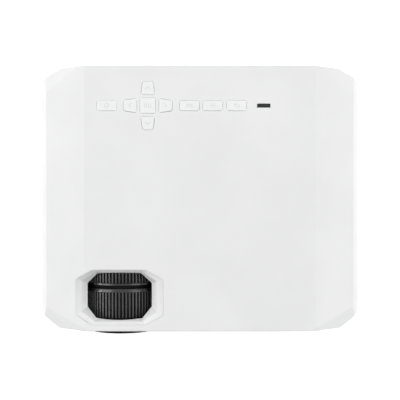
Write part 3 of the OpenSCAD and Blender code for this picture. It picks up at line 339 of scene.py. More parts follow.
def finish_piece(name, bm, body, materials, replaces=(), sharp=32, weighted=True):
    """Turns a bmesh into an object at the origin that rides on a body; sharp is in degrees."""
    mesh = bpy.data.meshes.new(name)
    bm.to_mesh(mesh)
    bm.free()
    for material in materials if isinstance(materials, (list, tuple)) else [materials]:
        mesh.materials.append(material)
    mesh.shade_smooth()
    mesh.set_sharp_from_angle(angle=math.radians(sharp))
    made = bpy.data.objects.new(name, mesh)
    bpy.context.scene.collection.objects.link(made)
    if weighted:
        flat = made.modifiers.new("Flat faces", "WEIGHTED_NORMAL")
        flat.keep_sharp = True
    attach(made, body)
    if replaces:
        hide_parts(*replaces)
    return made


def body_of(node):
    """The CAD body that a node belongs to."""
    groups = frame["record"]["behaviour"]["bodies"]
    return next(body for body, members in groups.items() if node in members)


def solid_copy(node):
    """A merged copy of a CAD node, its flat faces made whole again."""
    bm = bmesh.new()
    bm.from_mesh(NODES[node].data)
    bmesh.ops.remove_doubles(bm, verts=bm.verts, dist=2e-6)
    bmesh.ops.dissolve_limit(bm, angle_limit=math.radians(0.4), verts=bm.verts, edges=bm.edges)
    return bm


def edge_angle(edge):
    """Angle between an edge's two faces: above zero where the edge stands out."""
    if len(edge.link_faces) != 2:
        return 0
    return edge.calc_face_angle_signed(0)


def bevel_edges(bm, edges, width, segments, clamp=True, slide=True):
    """Rounds edges and returns the faces of the rounding."""
    edges = [e for e in edges if e.is_valid]
    if not edges:
        return []
    made = bmesh.ops.bevel(
        bm, geom=edges, offset=width, offset_type="OFFSET", segments=segments, profile=0.5,
        affect="EDGES", material=-1, clamp_overlap=clamp, loop_slide=slide,
    )
    return made["faces"]


def edges_of(verts):
    """The edges that meet at some vertices, each once."""
    return list(dict.fromkeys(e for v in verts for e in v.link_edges))


def rim_at(bm, level):
    """The square edges that lie at a level."""
    return [e for e in bm.edges if edge_angle(e) > SQUARE and min(v.co.z for v in e.verts) > level - HAIR]


def upright_edges(edges, length):
    """The edges that rise by more than a length."""
    return [e for e in edges if abs(e.verts[0].co.z - e.verts[1].co.z) > length]


def outer_faces(bm):
    """The faces whose plane has the whole mesh on one side."""
    found = set()
    corners = [v.co.copy() for v in bm.verts]
    for face in bm.faces:
        level = face.normal.dot(face.verts[0].co) + HAIR / 2
        if all(face.normal.dot(c) <= level for c in corners):
            found.add(face)
    return found


def softened(node, width, segments, angle, material):
    """A copy of a CAD node with its standing edges rounded, which replaces the node."""
    bm = solid_copy(node)
    limit = math.radians(angle)
    bevel_edges(bm, [e for e in bm.edges if edge_angle(e) > limit], width, segments)
    finish_piece(node + "_skin", bm, body_of(node), material, (node,))


def dress(node, material):
    """Gives a CAD node that stays as it is its material."""
    mesh = NODES[node].data
    mesh.materials.clear()
    mesh.materials.append(material)
    mesh.shade_smooth()
    mesh.set_sharp_from_angle(angle=math.radians(30))


def add_box(bm, low, high, bevel=0.0):
    """A box between two corners; returns its vertices, which hold only where bevel is zero."""
    low, high = Vector(low), Vector(high)
    place = Matrix.Translation((low + high) / 2) @ Matrix.Diagonal((*(high - low), 1))
    verts = bmesh.ops.create_cube(bm, size=1, matrix=place)["verts"]
    if bevel:
        bevel_edges(bm, edges_of(verts), bevel, 2)
    return verts


def add_rod(bm, start, end, radius, segments, bevel=0.0):
    """A closed rod between two points."""
    start, end = Vector(start), Vector(end)
    way = end - start
    place = Matrix.Translation((start + end) / 2) @ way.to_track_quat("Z", "Y").to_matrix().to_4x4()
    made = bmesh.ops.create_cone(
        bm, cap_ends=True, segments=segments, radius1=radius, radius2=radius, depth=way.length, matrix=place,
    )
    if bevel:
        bevel_edges(bm, [e for e in edges_of(made["verts"]) if edge_angle(e) > SQUARE], bevel, 2)


def add_turned(bm, profile, centre, axis, steps):
    """Turns a closed or axis-to-axis outline of (distance along the axis, radius) round an axis."""
    axis = Vector(axis).normalized()
    side = axis.orthogonal().normalized()
    verts = [bm.verts.new(Vector(centre) + axis * a + side * r) for a, r in profile]
    edges = [bm.edges.new((verts[i], verts[i + 1])) for i in range(len(verts) - 1)]
    starts_on_axis = profile[0][1] < 1e-9
    if not starts_on_axis:
        edges.append(bm.edges.new((verts[-1], verts[0])))
    bmesh.ops.spin(
        bm, geom=verts + edges, cent=centre, axis=axis, angle=2 * math.pi, steps=steps,
        use_merge=True, use_duplicate=False,
    )
    bmesh.ops.remove_doubles(bm, verts=bm.verts, dist=1e-7)
    outward(bm)


def outward(bm):
    """Points all faces outwards."""
    bmesh.ops.recalc_face_normals(bm, faces=bm.faces)


# ---- Shells and keys ----

class PROJECTOR_OT_covers(bpy.types.Operator):
    """Round the edges of the two white shells, their openings and the seam between them"""
    bl_idname = "projector.covers"
    bl_label = "White Shells"

    def execute(self, context):
        shell = context.scene.projector_shell
        white = moulded_plastic("shell_white", tuple(shell.colour), shell.grain)
        for node in ("top_cover", "bottom_cover"):
            bm = solid_copy(node)
            outer = outer_faces(bm)
            lips = []
            for edge in bm.edges:
                count = sum(face in outer for face in edge.link_faces)
                seam = any(face.normal.z < -0.9 and node == "top_cover" for face in edge.link_faces)
                if edge_angle(edge) > SQUARE and (count == 1 or (count == 2 and seam)):
                    lips.append(edge)
            bevel_edges(bm, lips, shell.lip, 2)
            outer = outer_faces(bm)
            body = [
                e for e in bm.edges
                if all(face in outer for face in e.link_faces) and edge_angle(e) > FOLD
                and e.calc_length() > shell.edge * 2
            ]
            planes = [(f.normal.copy(), f.normal.dot(f.verts[0].co)) for f in bm.faces if f in outer]
            bevel_edges(bm, body, shell.edge, 5, clamp=False)
            # Corners where flat edges meet can leave the body's planes, so they're put back on them
            for v in bm.verts:
                for normal, level in planes:
                    v.co -= normal * max(0, normal.dot(v.co) - level)
            finish_piece(node + "_skin", bm, "housing", white, (node,), sharp=40)
        return {"FINISHED"}


def octagon(low, high, cut, level, front_cut=None):
    """Corners of a cut rectangle, anticlockwise, each at the height that level gives for its x."""
    rear_x, rear_y = cut
    front_x, front_y = front_cut or cut
    places = [
        (low[0] + front_x, low[1]), (high[0] - front_x, low[1]), (high[0], low[1] + front_y),
        (high[0], high[1] - rear_y), (high[0] - rear_x, high[1]), (low[0] + rear_x, high[1]),
        (low[0], high[1] - rear_y), (low[0], low[1] + front_y),
    ]
    return [Vector((x, y, level(x))) for x, y in places]


def cover_level(x):
    """Height of the top cover at x: flat in the middle, falling off at the sides."""
    return TOP_Z - max(0, abs(x) - SLOPE_EDGE) * SLOPE_FALL


class PROJECTOR_OT_window_frame(bpy.types.Operator):
    """Build the eight-sided frame whose rim slopes down to the ribbed rings"""
    bl_idname = "projector.window_frame"
    bl_label = "Window Frame"

    def execute(self, context):
        shell = context.scene.projector_shell
        white = moulded_plastic("frame_white", tuple(shell.colour), shell.grain * 1.6, rough=0.4)
        low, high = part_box("lens_bezel")
        foot = low[2]
        # Height that the rim loses towards the hole
        drop = 3 * MM
        # Widths of the sloping rim and of the wall inside it
        rim_left, rim_right, rim_front, rim_rear = 4.3 * MM, 5.3 * MM, 2.4 * MM, 1.9 * MM
        wall_left, wall_right, wall_rear = 3.8 * MM, 4.3 * MM, 2.2 * MM
        ring_shows_from = 1.2 * MM
        outer = octagon(low, high, (13.5 * MM, 7.6 * MM), cover_level)
        rim_low = (low[0] + rim_left, low[1] + rim_front)
        rim_high = (high[0] - rim_right, high[1] - rim_rear)
        rim = octagon(rim_low, rim_high, (10.8 * MM, 7.4 * MM), lambda x: 0)
        for near, far in zip(rim, outer):
            near.z = far.z - drop
        hole_low = (rim_low[0] + wall_left, RING_LOW[1] + ring_shows_from)
        hole_high = (rim_high[0] - wall_right, rim_high[1] - wall_rear)
        hole = octagon(hole_low, hole_high, (8.3 * MM, 7.4 * MM), lambda x: foot, (7.2 * MM, 8.3 * MM))
        base = [Vector((p.x, p.y, foot)) for p in outer]
        bm = bmesh.new()
        loops = []
        for corners in (base, outer, rim, hole):
            verts = [bm.verts.new(p) for p in corners]
            loops.append([bm.edges.new((verts[i], verts[(i + 1) % 8])) for i in range(8)])
        for i in range(4):
            bmesh.ops.bridge_loops(bm, edges=loops[i] + loops[(i + 1) % 4])
        outward(bm)
        edges = [e for e in bm.edges if edge_angle(e) > 0.1 and max(v.co.z for v in e.verts) > foot + 1 * MM]
        bevel_edges(bm, edges, 0.28 * MM, 3)
        self.arch_walls(bm, foot, hole_low, hole_high, (low[1] + high[1]) / 2)
        finish_piece("window_frame", bm, "housing", white, ("lens_bezel",), sharp=35)
        return {"FINISHED"}

    def arch_walls(self, bm, foot, hole_low, hole_high, middle):
        """Lifts the foot of the front and rear walls over the round rings."""
        long_edge, cuts = 20 * MM, 23
        clearance, skin, lean = 1 * MM, 4 * MM, 0.18
        crosswise = [e for e in bm.edges if abs(e.verts[0].co.x - e.verts[1].co.x) > long_edge]
        bmesh.ops.subdivide_edges(bm, edges=crosswise, cuts=cuts, use_grid_fill=True)
        reach = RING_RADIUS + clearance
        for v in bm.verts:
            side = abs(v.co.x - LENS_X)
            if v.co.z < foot + 0.5 * MM and side < reach:
                arch = min(cover_level(v.co.x) - skin, LENS_Z + math.sqrt(reach ** 2 - side ** 2))
                rise = max(0, arch - v.co.z)
                inner = hole_low[1] - 1 * MM < v.co.y < hole_high[1] + 1 * MM
                v.co.z += rise
                # The walls of the hole lean away from the rings as they rise
                v.co.y += math.copysign(lean * rise * inner, v.co.y - middle)


def add_bar(bm, start, end, width, z0, z1):
    """Flat bar with round ends between two points of the XY plane."""
    start, end = Vector((*start, (z0 + z1) / 2)), Vector((*end, (z0 + z1) / 2))
    way = end - start
    place = Matrix.Translation((start + end) / 2) @ Matrix.Rotation(math.atan2(way.y, way.x), 4, "Z")
    half = Vector((way.length + width, width, z1 - z0)) / 2
    verts = add_box(bm, -half, half)
    faces = bevel_edges(bm, upright_edges(edges_of(verts), half.z), width * 0.48, 3)
    verts = dict.fromkeys([v for v in verts if v.is_valid] + [v for f in faces for v in f.verts])
    bmesh.ops.transform(bm, matrix=place, verts=list(verts))


def add_arc(bm, centre, radius, start, end, width, z0, z1, steps=24):
    """Flat bent bar along a part of a circle, angles in degrees."""
    first = math.radians(start)
    way = Vector((math.cos(first), math.sin(first), 0))
    inside, outside = radius - width / 2, radius + width / 2
    corners = ((inside, z0), (outside, z0), (outside, z1), (inside, z1))
    verts = [bm.verts.new(Vector((*centre, z)) + way * r) for r, z in corners]
    edges = [bm.edges.new((verts[k - 1], verts[k])) for k in range(4)]
    known = set(bm.edges) - set(edges)
    bmesh.ops.spin(
        bm, geom=verts + edges, cent=(*centre, 0), axis=(0, 0, 1), angle=math.radians(end - start),
        steps=steps, use_merge=False, use_duplicate=False,
    )
    ends = [e for e in bm.edges if e not in known and len(e.link_faces) == 1]
    bmesh.ops.holes_fill(bm, edges=ends)
    outward(bm)


# Bars and arcs of each key's plain icon, in millimetres from the middle of the key: a bar is its
# two ends, and an arc its centre, its radius and its first and last angle
ICONS = {
    "key_power": ([((0, -0.5), (0, -2.1))], [((0, 0), 1.7, 302, 598)]),
    "key_left": ([((1, 1.9), (-1, 0)), ((-1, 0), (1, -1.9))], []),
    "key_ok": ([((x, -1.6), (x, 1.6)) for x in (-2.4, -0.8, 0.8, 2.4)], []),
    "key_right": ([((-1, 1.9), (1, 0)), ((1, 0), (-1, -1.9))], []),
    "key_up": ([((-2.1, -1), (0, 1)), ((0, 1), (2.1, -1))], []),
    "key_down": ([((-2.1, 1), (0, -1)), ((0, -1), (2.1, 1))], []),
    "key_source": (
        [
            ((-2, -1.3), (-2, 1.3)), ((-2, 1.3), (-0.2, 0)), ((-0.2, 0), (-2, -1.3)),
            ((0.9, -1.3), (0.9, 1.3)), ((2, -1.3), (2, 1.3)),
        ],
        [],
    ),
    "key_menu": ([((-1.9, y), (1.9, y)) for y in (-1.2, 0, 1.2)], []),
    "key_back": (
        [
            ((-1.9, 0.8), (0.9, 0.8)), ((-1.9, 0.8), (-1, 1.7)), ((-1.9, 0.8), (-1, -0.1)),
            ((-1.2, -1.2), (0.9, -1.2)),
        ],
        [((0.9, -0.2), 1, -90, 90)],
    ),
}
KEY_ROUNDING = 0.4 * MM


def add_skirt(bm, top, reach, z0, z1):
    """A rim under a key's top face that fills most of the gap round the key."""
    level = [f for f in dict.fromkeys(f for v in top for f in v.link_faces) if f.normal.z > 0.9]
    face = max(level, key=lambda f: f.calc_area())
    corners = [v.co.copy() for v in face.verts]
    middle = face.calc_center_median()
    half = [max(abs(c[k] - middle[k]) for c in corners) for k in (0, 1)]
    # The top face lies inside the key's outline by the width of its rounding
    grow = [(h + KEY_ROUNDING + reach) / h for h in half]
    skirt = bm.faces.new([
        bm.verts.new((middle.x + (c.x - middle.x) * grow[0], middle.y + (c.y - middle.y) * grow[1], z1))
        for c in corners
    ])
    made = bmesh.ops.extrude_face_region(bm, geom=[skirt])["geom"]
    verts = [v for v in made if isinstance(v, bmesh.types.BMVert)]
    bmesh.ops.translate(bm, vec=(0, 0, z0 - z1), verts=verts)
    walls = list(dict.fromkeys(f for v in verts for f in v.link_faces))
    bmesh.ops.recalc_face_normals(bm, faces=walls + [skirt])


class PROJECTOR_OT_keys(bpy.types.Operator):
    """Round the key caps and print a plain icon on each"""
    bl_idname = "projector.keys"
    bl_label = "Keys"

    def execute(self, context):
        keys = context.scene.projector_keys
        sink = 0.05 * MM
        cap = moulded_plastic("key_cap_white", tuple(keys.colour), 0.3 * MM, rough=0.34, depth=0.008 * MM)
        ink = glossy_plastic("icon_grey", tuple(keys.icon_colour), 0.45)
        for node, (bars, arcs) in ICONS.items():
            low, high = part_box(node)
            level = high[2]
            bm = solid_copy(node)
            bevel_edges(bm, rim_at(bm, level), KEY_ROUNDING, 4)
            top = [v for v in bm.verts if v.co.z > level - HAIR]
            bmesh.ops.translate(bm, vec=(0, 0, -sink), verts=top)
            add_skirt(bm, top, 0.2 * MM, level - 2.4 * MM, level - 0.35 * MM)
            finish_piece(node + "_cap", bm, body_of(node), cap, (node,), sharp=40)
            bm = bmesh.new()
            middle = Vector(((low[0] + high[0]) / 2, (low[1] + high[1]) / 2))
            under = level - 2 * sink
            # Each stroke lies a hair lower than the one before, so that crossing tops never coincide
            for count, ends in enumerate(bars):
                a, b = (middle + Vector(p) * MM for p in ends)
                add_bar(bm, a, b, keys.icon_line, under, level - (count + 1) * 0.004 * MM)
            for place, radius, start, end in arcs:
                centre = middle + Vector(place) * MM
                add_arc(bm, centre, radius * MM, start, end, keys.icon_line, under, level)
            finish_piece(node + "_icon", bm, body_of(node), ink, sharp=30)
        return {"FINISHED"}


class PROJECTOR_OT_status_window(bpy.types.Operator):
    """Build the dark window over the remote sensor and the status lamp"""
    bl_idname = "projector.status_window"
    bl_label = "Status Window"

    def execute(self, context):
        low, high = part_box("status_window")
        # The pane stands on a flange that is wider by the inset on all sides
        inset = 1.1 * MM
        flange = 1 * MM
        dark = glossy_plastic("window_black", (0.006, 0.006, 0.007), 0.12)
        bm = bmesh.new()
        pane_low = (low[0] + inset, low[1] + inset, low[2] + flange)
        add_box(bm, pane_low, (high[0] - inset, high[1] - inset, high[2]))
        bevel_edges(bm, upright_edges(bm.edges, flange), 1.4 * MM, 6)
        bevel_edges(bm, rim_at(bm, high[2]), 0.25 * MM, 3)
        add_box(bm, low, (high[0], high[1], low[2] + flange + 0.05 * MM), 0.2 * MM)
        finish_piece(
            "status_lens", bm, "housing", dark, ("status_window",), sharp=40,
        )
        return {"FINISHED"}


# ---- Rings and lens ----

def ribbed_ring(name, node, profile, rib_start, rib_end, settings):
    """A turned ring with lengthwise ribs round it, glossy outside and dull between the ribs, where a darker
    colour paints the shade that falls between them.
    """
    shiny = glossy_plastic(name + "_gloss", tuple(settings.colour), 0.2, coat=0.15)
    # The root finish is darker than the ring colour: painted shade for the troughs between the ribs
    dull = moulded_plastic(name + "_root", tinted(settings.colour, 0.6), 0.3 * MM, rough=0.75, spread=0.1)
    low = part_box(node)[0]
    centre = Vector((LENS_X, low[1], LENS_Z))
    bm = bmesh.new()
    add_turned(bm, profile, centre, (0, 1, 0), 152)
    root = RING_RADIUS - settings.rib_height
    # Half widths of a rib's foot and crest, its depth in the ring, the slant of its front end
    # and the rounding of its crest
    foot_half, crest_half, sunk, slant, rounding = 0.86 * MM, 0.56 * MM, 0.3 * MM, 0.35 * MM, 0.24 * MM
    verts = add_box(
        bm, (LENS_X - foot_half, low[1] + rib_start, LENS_Z + root - sunk),
        (LENS_X + foot_half, low[1] + rib_end, LENS_Z + RING_RADIUS),
    )
    crest = [v for v in verts if v.co.z > LENS_Z + root]
    for v in crest:
        v.co.x = LENS_X + math.copysign(crest_half, v.co.x - LENS_X)
        if v.co.y < low[1] + (rib_start + rib_end) / 2:
            v.co.y += slant
    lengthwise = [e for e in edges_of(crest) if all(v in crest for v in e.verts)]
    faces = bevel_edges(bm, lengthwise, rounding, 2, slide=False)
    faces += [f for v in verts if v.is_valid for f in v.link_faces]
    faces = list(dict.fromkeys(f for face in faces for v in face.verts for f in v.link_faces))
    count = settings.ribs
    bmesh.ops.spin(
        bm, geom=faces + edges_of(v for f in faces for v in f.verts)
        + list(dict.fromkeys(v for f in faces for v in f.verts)),
        cent=centre, axis=(0, 1, 0), angle=2 * math.pi * (count - 1) / count,
        steps=count - 1, use_merge=False, use_duplicate=True,
    )
    made = finish_piece(
        name, bm, body_of(node), [shiny, dull], (node,), sharp=36, weighted=False,
    )
    near_root = 0.08 * MM
    # Faces at the root between the ribs take the darker finish that paints their shade
    for face in made.data.polygons:
        away = face.center - Vector((LENS_X, face.center.y, LENS_Z))
        painted_shade_between_ribs = abs(away.length - root) < near_root and face.normal.dot(away) > 0
        face.material_index = 1 if painted_shade_between_ribs else 0


class PROJECTOR_OT_focus_rings(bpy.types.Operator):
    """Turn the focus and keystone rings and set their ribs"""
    bl_idname = "projector.focus_rings"
    bl_label = "Ribbed Rings"

    def execute(self, context):
        lens = context.scene.projector_lens
        bore = BARREL_HIGH[0] - LENS_X + 2.62 * MM
        outside = RING_RADIUS
        root = outside - lens.rib_height
        length = RING_HIGH[1] - RING_LOW[1]
        shoulder = length - 3.2 * MM
        front = [
            (0.4 * MM, bore), (0, bore + 0.4 * MM), (0, root - 0.7 * MM), (0.25 * MM, root - 0.25 * MM),
            (0.8 * MM, root), (shoulder, root), (shoulder, outside - 0.35 * MM),
            (shoulder + 0.15 * MM, outside - 0.14 * MM), (shoulder + 0.4 * MM, outside - 0.12 * MM),
            (length - 1.1 * MM, outside - 0.6 * MM), (length - 0.45 * MM, outside - 0.95 * MM),
            (length - 0.1 * MM, outside - 1.4 * MM), (length, outside - 1.9 * MM),
            (length, bore + 0.4 * MM), (length - 0.4 * MM, bore),
        ]
        ribbed_ring("focus_ring_turned", "focus_ring", front, 0.5 * MM, shoulder + 0.1 * MM, lens)
        length = BACK_RING_HIGH[1] - BACK_RING_LOW[1]
        lip = 1.9 * MM
        back = [
            (0.3 * MM, bore), (0, bore + 0.3 * MM), (0, outside - 1.6 * MM), (0.1 * MM, outside - 1.0 * MM),
            (0.35 * MM, outside - 0.35 * MM), (0.6 * MM, outside - 0.12 * MM), (lip, outside - 0.1 * MM),
            (lip, root), (length - 0.6 * MM, root), (length, root - 0.6 * MM),
            (length, bore + 0.3 * MM), (length - 0.3 * MM, bore),
        ]
        ribbed_ring("keystone_ring_turned", "keystone_ring", back, lip - 0.1 * MM, length - 0.7 * MM, lens)
        return {"FINISHED"}


def arc_outline(radius, thickness, ball, steps=20):
    """Half outline of a lens with two round faces, as (along the axis, radius)."""
    radii = [radius * k / steps for k in range(steps + 1)]
    front = [(ball - math.sqrt(ball * ball - r * r), r) for r in radii]
    return front + [(thickness - sag, r) for sag, r in reversed(front)]


class PROJECTOR_OT_lens_barrel(bpy.types.Operator):
    """Turn the lens barrel with its stepped hood and the two lens groups"""
    bl_idname = "projector.lens_barrel"
    bl_label = "Lens Barrel"

    def execute(self, context):
        lens = context.scene.projector_lens
        black = moulded_plastic(
            "barrel_black", tinted(lens.colour, 0.35), 0.3 * MM, rough=0.6, depth=0.01 * MM, spread=0.12,
            shine=0.12,
        )
        dull = moulded_plastic("baffle_black", tinted(lens.colour, 0.7), 0.5 * MM, rough=0.7, depth=0.03 * MM)
        radius = BARREL_HIGH[0] - LENS_X
        length = BARREL_HIGH[1] - BARREL_LOW[1]
        bore = radius - 2.5 * MM
        stop, stop_start, stop_end = radius - 4.5 * MM, 13 * MM, 30 * MM
        profile = [(length, radius), (0.15 * MM, radius), (0, radius - 0.15 * MM), (0, radius - 0.5 * MM)]
        # Steps of the hood, each narrower than the one in front of it
        steps, step_length, step_height = 5, 0.9 * MM, 0.3 * MM
        for k in range(steps):
            r = radius - 0.8 * MM - k * step_height
            profile += [(k * step_length, r), ((k + 1) * step_length, r - 0.08 * MM)]
        profile += [
            (5.0 * MM, radius - 3.0 * MM), (8.0 * MM, radius - 3.0 * MM), (8.2 * MM, bore),
            (stop_start, bore), (stop_start, stop), (stop_end, stop), (stop_end, bore), (length, bore),
        ]
        bm = bmesh.new()
        add_turned(bm, profile, (LENS_X, BARREL_LOW[1], LENS_Z), (0, 1, 0), 128)
        made = finish_piece(
            "lens_barrel_turned", bm, "lens_barrel", [black, dull], ("lens_barrel",),
            sharp=30, weighted=False,
        )
        skin = 1 * MM
        for face in made.data.polygons:
            away = face.center - Vector((LENS_X, face.center.y, LENS_Z))
            face.material_index = 1 if away.length < radius - skin else 0
        glass = coated_glass("lens_glass", (0.86, 0.92, 0.97))
        for node, ball in (("front_lens", 110 * MM), ("rear_lens", 80 * MM)):
            low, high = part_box(node)
            bm = bmesh.new()
            outline = arc_outline((high[0] - low[0]) / 2, high[1] - low[1], ball)
            add_turned(bm, outline, (LENS_X, low[1], LENS_Z), (0, 1, 0), 96)
            finish_piece(
                node + "_glass", bm, "lens_barrel", glass, (node,), sharp=50, weighted=False,
            )
        return {"FINISHED"}


# ---- Grilles, panels and sockets ----

class PROJECTOR_OT_grilles(bpy.types.Operator):
    """Round the bars of the grilles and put dust mesh behind the side grille"""
    bl_idname = "projector.grilles"
    bl_label = "Grilles"

    def execute(self, context):
        shell = context.scene.projector_shell
        plastic = moulded_plastic("grille_white", tinted(shell.colour, 0.97), shell.grain, rough=0.42)
        for node in ("front_grille", "rear_grille", "side_grille"):
            softened(node, 0.25 * MM, 2, 30, plastic)
        low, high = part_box("side_grille")
        # Half the width of a wire; the level wires cross behind the upright ones
        wire = 0.18 * MM
        start = high[0] + 0.02 * MM
        end = start + 2 * wire
        bm = bmesh.new()
        for k in range(int((high[1] - low[1]) / shell.mesh_step)):
            y = low[1] + (k + 0.5) * shell.mesh_step
            add_box(bm, (start, y - wire, low[2]), (end, y + wire, high[2]))
        for k in range(int((high[2] - low[2]) / shell.mesh_step)):
            z = low[2] + (k + 0.5) * shell.mesh_step
            add_box(bm, (start + wire, low[1], z - wire), (end + wire, high[1], z + wire))
        black = moulded_plastic("mesh_black", (0.02, 0.02, 0.021), 0.3 * MM, rough=0.6)
        finish_piece("dust_mesh", bm, "housing", black)
        return {"FINISHED"}


# Each plug socket's middle, width and height, the thickness of its tongue and its count of contacts
PLUGS = (
    (20 * MM, 15 * MM, 5.8 * MM, 1.6 * MM, 9),
    (40 * MM, 15 * MM, 5.8 * MM, 1.6 * MM, 9),
    (61 * MM, 13.2 * MM, 7 * MM, 2 * MM, 4),
)
# Middles of the wide socket and the two jacks, and their heights over the foot of the sockets
WIDE_X = 87 * MM
WIDE_RISE = 6.25 * MM
JACKS = (-9 * MM, 3 * MM)
JACK_RISE = 4 * MM
# Distance of each pin from the middle of the mains inlet
PIN_REACH = 4.3 * MM


class PROJECTOR_OT_sockets(bpy.types.Operator):
    """Soften the connector panel and build the sockets, the mains inlet and their contacts"""
    bl_idname = "projector.sockets"
    bl_label = "Sockets"

    def execute(self, context):
        shell = context.scene.projector_shell
        panel = moulded_plastic("panel_white", tinted(shell.colour, 0.97), shell.grain, rough=0.42)
        softened("io_panel", 0.25 * MM, 2, 30, panel)
        softened("sockets", 0.12 * MM, 2, 40, brushed_metal("socket_metal", (0.62, 0.62, 0.63), 0.3))
        softened("power_inlet", 0.3 * MM, 2, 30, glossy_plastic("inlet_black", (0.018, 0.018, 0.019), 0.38))
        low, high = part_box("sockets")
        face, floor = high[1], low[2]
        tongues, contacts, rims = bmesh.new(), bmesh.new(), bmesh.new()
        for plug in PLUGS:
            self.add_plug(tongues, contacts, face, floor, *plug)
        self.add_wide_socket(tongues, contacts, face, floor + WIDE_RISE)
        ring = [
            (0, 1.85 * MM), (0.2 * MM, 1.85 * MM), (0.3 * MM, 2.0 * MM), (0.3 * MM, 2.9 * MM), (0, 3.1 * MM),
        ]
        for x in JACKS:
            add_turned(rims, ring, Vector((x, face, floor + JACK_RISE)), (0, 1, 0), 40)
        black = moulded_plastic("tongue_black", (0.025, 0.025, 0.027), 0.3 * MM, rough=0.45)
        brass = brushed_metal("contact_brass", (0.78, 0.6, 0.28), 0.25)
        finish_piece("socket_tongues", tongues, "housing", black)
        finish_piece("socket_contacts", contacts, "housing", brass)
        finish_piece("jack_rims", rims, "housing", black)
        low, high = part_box("power_inlet")
        pins = bmesh.new()
        start, end = low[1] + 5.1 * MM, high[1] - 1.9 * MM
        for side in (-1, 1):
            x = (low[0] + high[0]) / 2 + side * PIN_REACH
            z = (low[2] + high[2]) / 2
            add_rod(pins, (x, start, z), (x, end, z), 1.26 * MM, 24, bevel=0.4 * MM)
        metal = brushed_metal("pin_metal", (0.7, 0.7, 0.71), 0.25)
        finish_piece("inlet_pins", pins, "housing", metal)
        return {"FINISHED"}

    def add_plug(self, tongues, contacts, face, floor, x, width, height, thick, count):
        """The tongue of a plug socket with its row of contacts."""
        side, margin = 2.5 * MM, 0.6 * MM
        half = width / 2 - side
        top = floor + height / 2 + 0.1 * MM
        under = floor + height / 2 - thick - 0.1 * MM
        add_box(tongues, (x - half, face - 9 * MM, under), (x + half, face - 2.3 * MM, top), 0.15 * MM)
        step = 2 * (half - margin) / count
        for k in range(count):
            middle = x - half + margin + (k + 0.5) * step
            add_box(
                contacts, (middle - 0.3 * step, face - 8 * MM, under - 0.08 * MM),
                (middle + 0.3 * step, face - 2.8 * MM, under + 0.1 * MM), 0.03 * MM,
            )

    def add_wide_socket(self, tongues, contacts, face, level):
        """The face of the wide socket, with three rows of five contacts."""
        half_width, half_height, step, row_step = 7.5 * MM, 3.2 * MM, 2.3 * MM, 1.9 * MM
        add_box(
            tongues, (WIDE_X - half_width, face - 1.2 * MM, level - half_height),
            (WIDE_X + half_width, face - 0.7 * MM, level + half_height), 0.12 * MM,
        )
        for row in (-1, 0, 1):
            for k in range(5):
                # Each row is shifted by a quarter of a step
                x = WIDE_X + (k - 2 + 0.25 * row) * step
                z = level + row * row_step
                add_rod(contacts, (x, face - 0.9 * MM, z), (x, face - 0.66 * MM, z), 0.42 * MM, 12)


# ---- Disc drive ----

class PROJECTOR_OT_disc_drive(bpy.types.Operator):
    """Round and dress the tray, the hub, the sled and the drive case, and build the pad and the shield"""
    bl_idname = "projector.disc_drive"
    bl_label = "Disc Drive"

    def execute(self, context):
        drive = context.scene.projector_drive
        shell = context.scene.projector_shell
        tray = moulded_plastic("tray_black", tuple(drive.tray_colour), 0.4 * MM, rough=0.42, depth=0.015 * MM)
        front = moulded_plastic("tray_front_white", tuple(shell.colour), shell.grain)
        steel = brushed_metal("drive_steel", (0.52, 0.53, 0.54), 0.34)
        bright = brushed_metal("drive_bright", (0.75, 0.76, 0.77), 0.2)
        softened("disc_tray", 0.3 * MM, 2, 30, tray)
        softened("tray_bezel", 0.5 * MM, 3, 30, front)
        softened("eject_button", 0.3 * MM, 3, 30, front)
        softened("spindle_hub", 0.2 * MM, 2, 30, tray)
        softened("pickup_sled", 0.2 * MM, 2, 30, tray)
        softened("drive_case", 0.2 * MM, 2, 40, steel)
        for node in ("drive_deck", "runner_front", "runner_rear"):
            dress(node, steel)
        for node in ("spindle_motor", "guide_rods", "lead_screw"):
            dress(node, bright)
        hub = self.add_disc_pad()
        self.add_shield()
        # Raised ring for the small disc size, open where the sled passes
        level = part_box("disc_tray")[1][2] - 1.8 * MM
        bm = bmesh.new()
        add_arc(bm, hub, 41 * MM, 160, 470, 1 * MM, level - 0.05 * MM, level + 0.2 * MM, 60)
        finish_piece("small_disc_ring", bm, body_of("disc_tray"), tray)
        return {"FINISHED"}

    def add_disc_pad(self):
        """Rubber ring on the hub that carries the disc; returns the hub's middle."""
        low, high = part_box("spindle_hub")
        hub = Vector(((low[0] + high[0]) / 2, (low[1] + high[1]) / 2))
        inside, outside, height, corner = 8 * MM, 10.5 * MM, 0.3 * MM, 0.2 * MM
        plate = low[2] + 1.3 * MM
        profile = [
            (plate, inside), (plate + corner, inside), (plate + height, inside + corner),
            (plate + height, outside - corner), (plate + corner, outside), (plate, outside),
        ]
        bm = bmesh.new()
        add_turned(bm, profile, (*hub, 0), (0, 0, 1), 64)
        rubber = soft_rubber("pad_rubber", (0.03, 0.03, 0.031))
        finish_piece("disc_pad", bm, body_of("spindle_hub"), rubber)
        return hub

    def add_shield(self):
        """Dark shield under the deck, between the sled and the bottom of the case."""
        low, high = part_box("drive_deck")
        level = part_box("disc_tray")[0][2]
        front, rear, gap, sheet = 3.5 * MM, 2.5 * MM, 0.05 * MM, 0.25 * MM
        bm = bmesh.new()
        add_box(
            bm, (low[0], low[1] - front, level + gap),
            (high[0], high[1] + rear, level + gap + sheet), 0.05 * MM,
        )
        shield = brushed_metal("shield_dark", (0.05, 0.05, 0.052), 0.5)
        finish_piece("deck_shield", bm, body_of("drive_deck"), shield)


# ---- Feet and small hardware ----

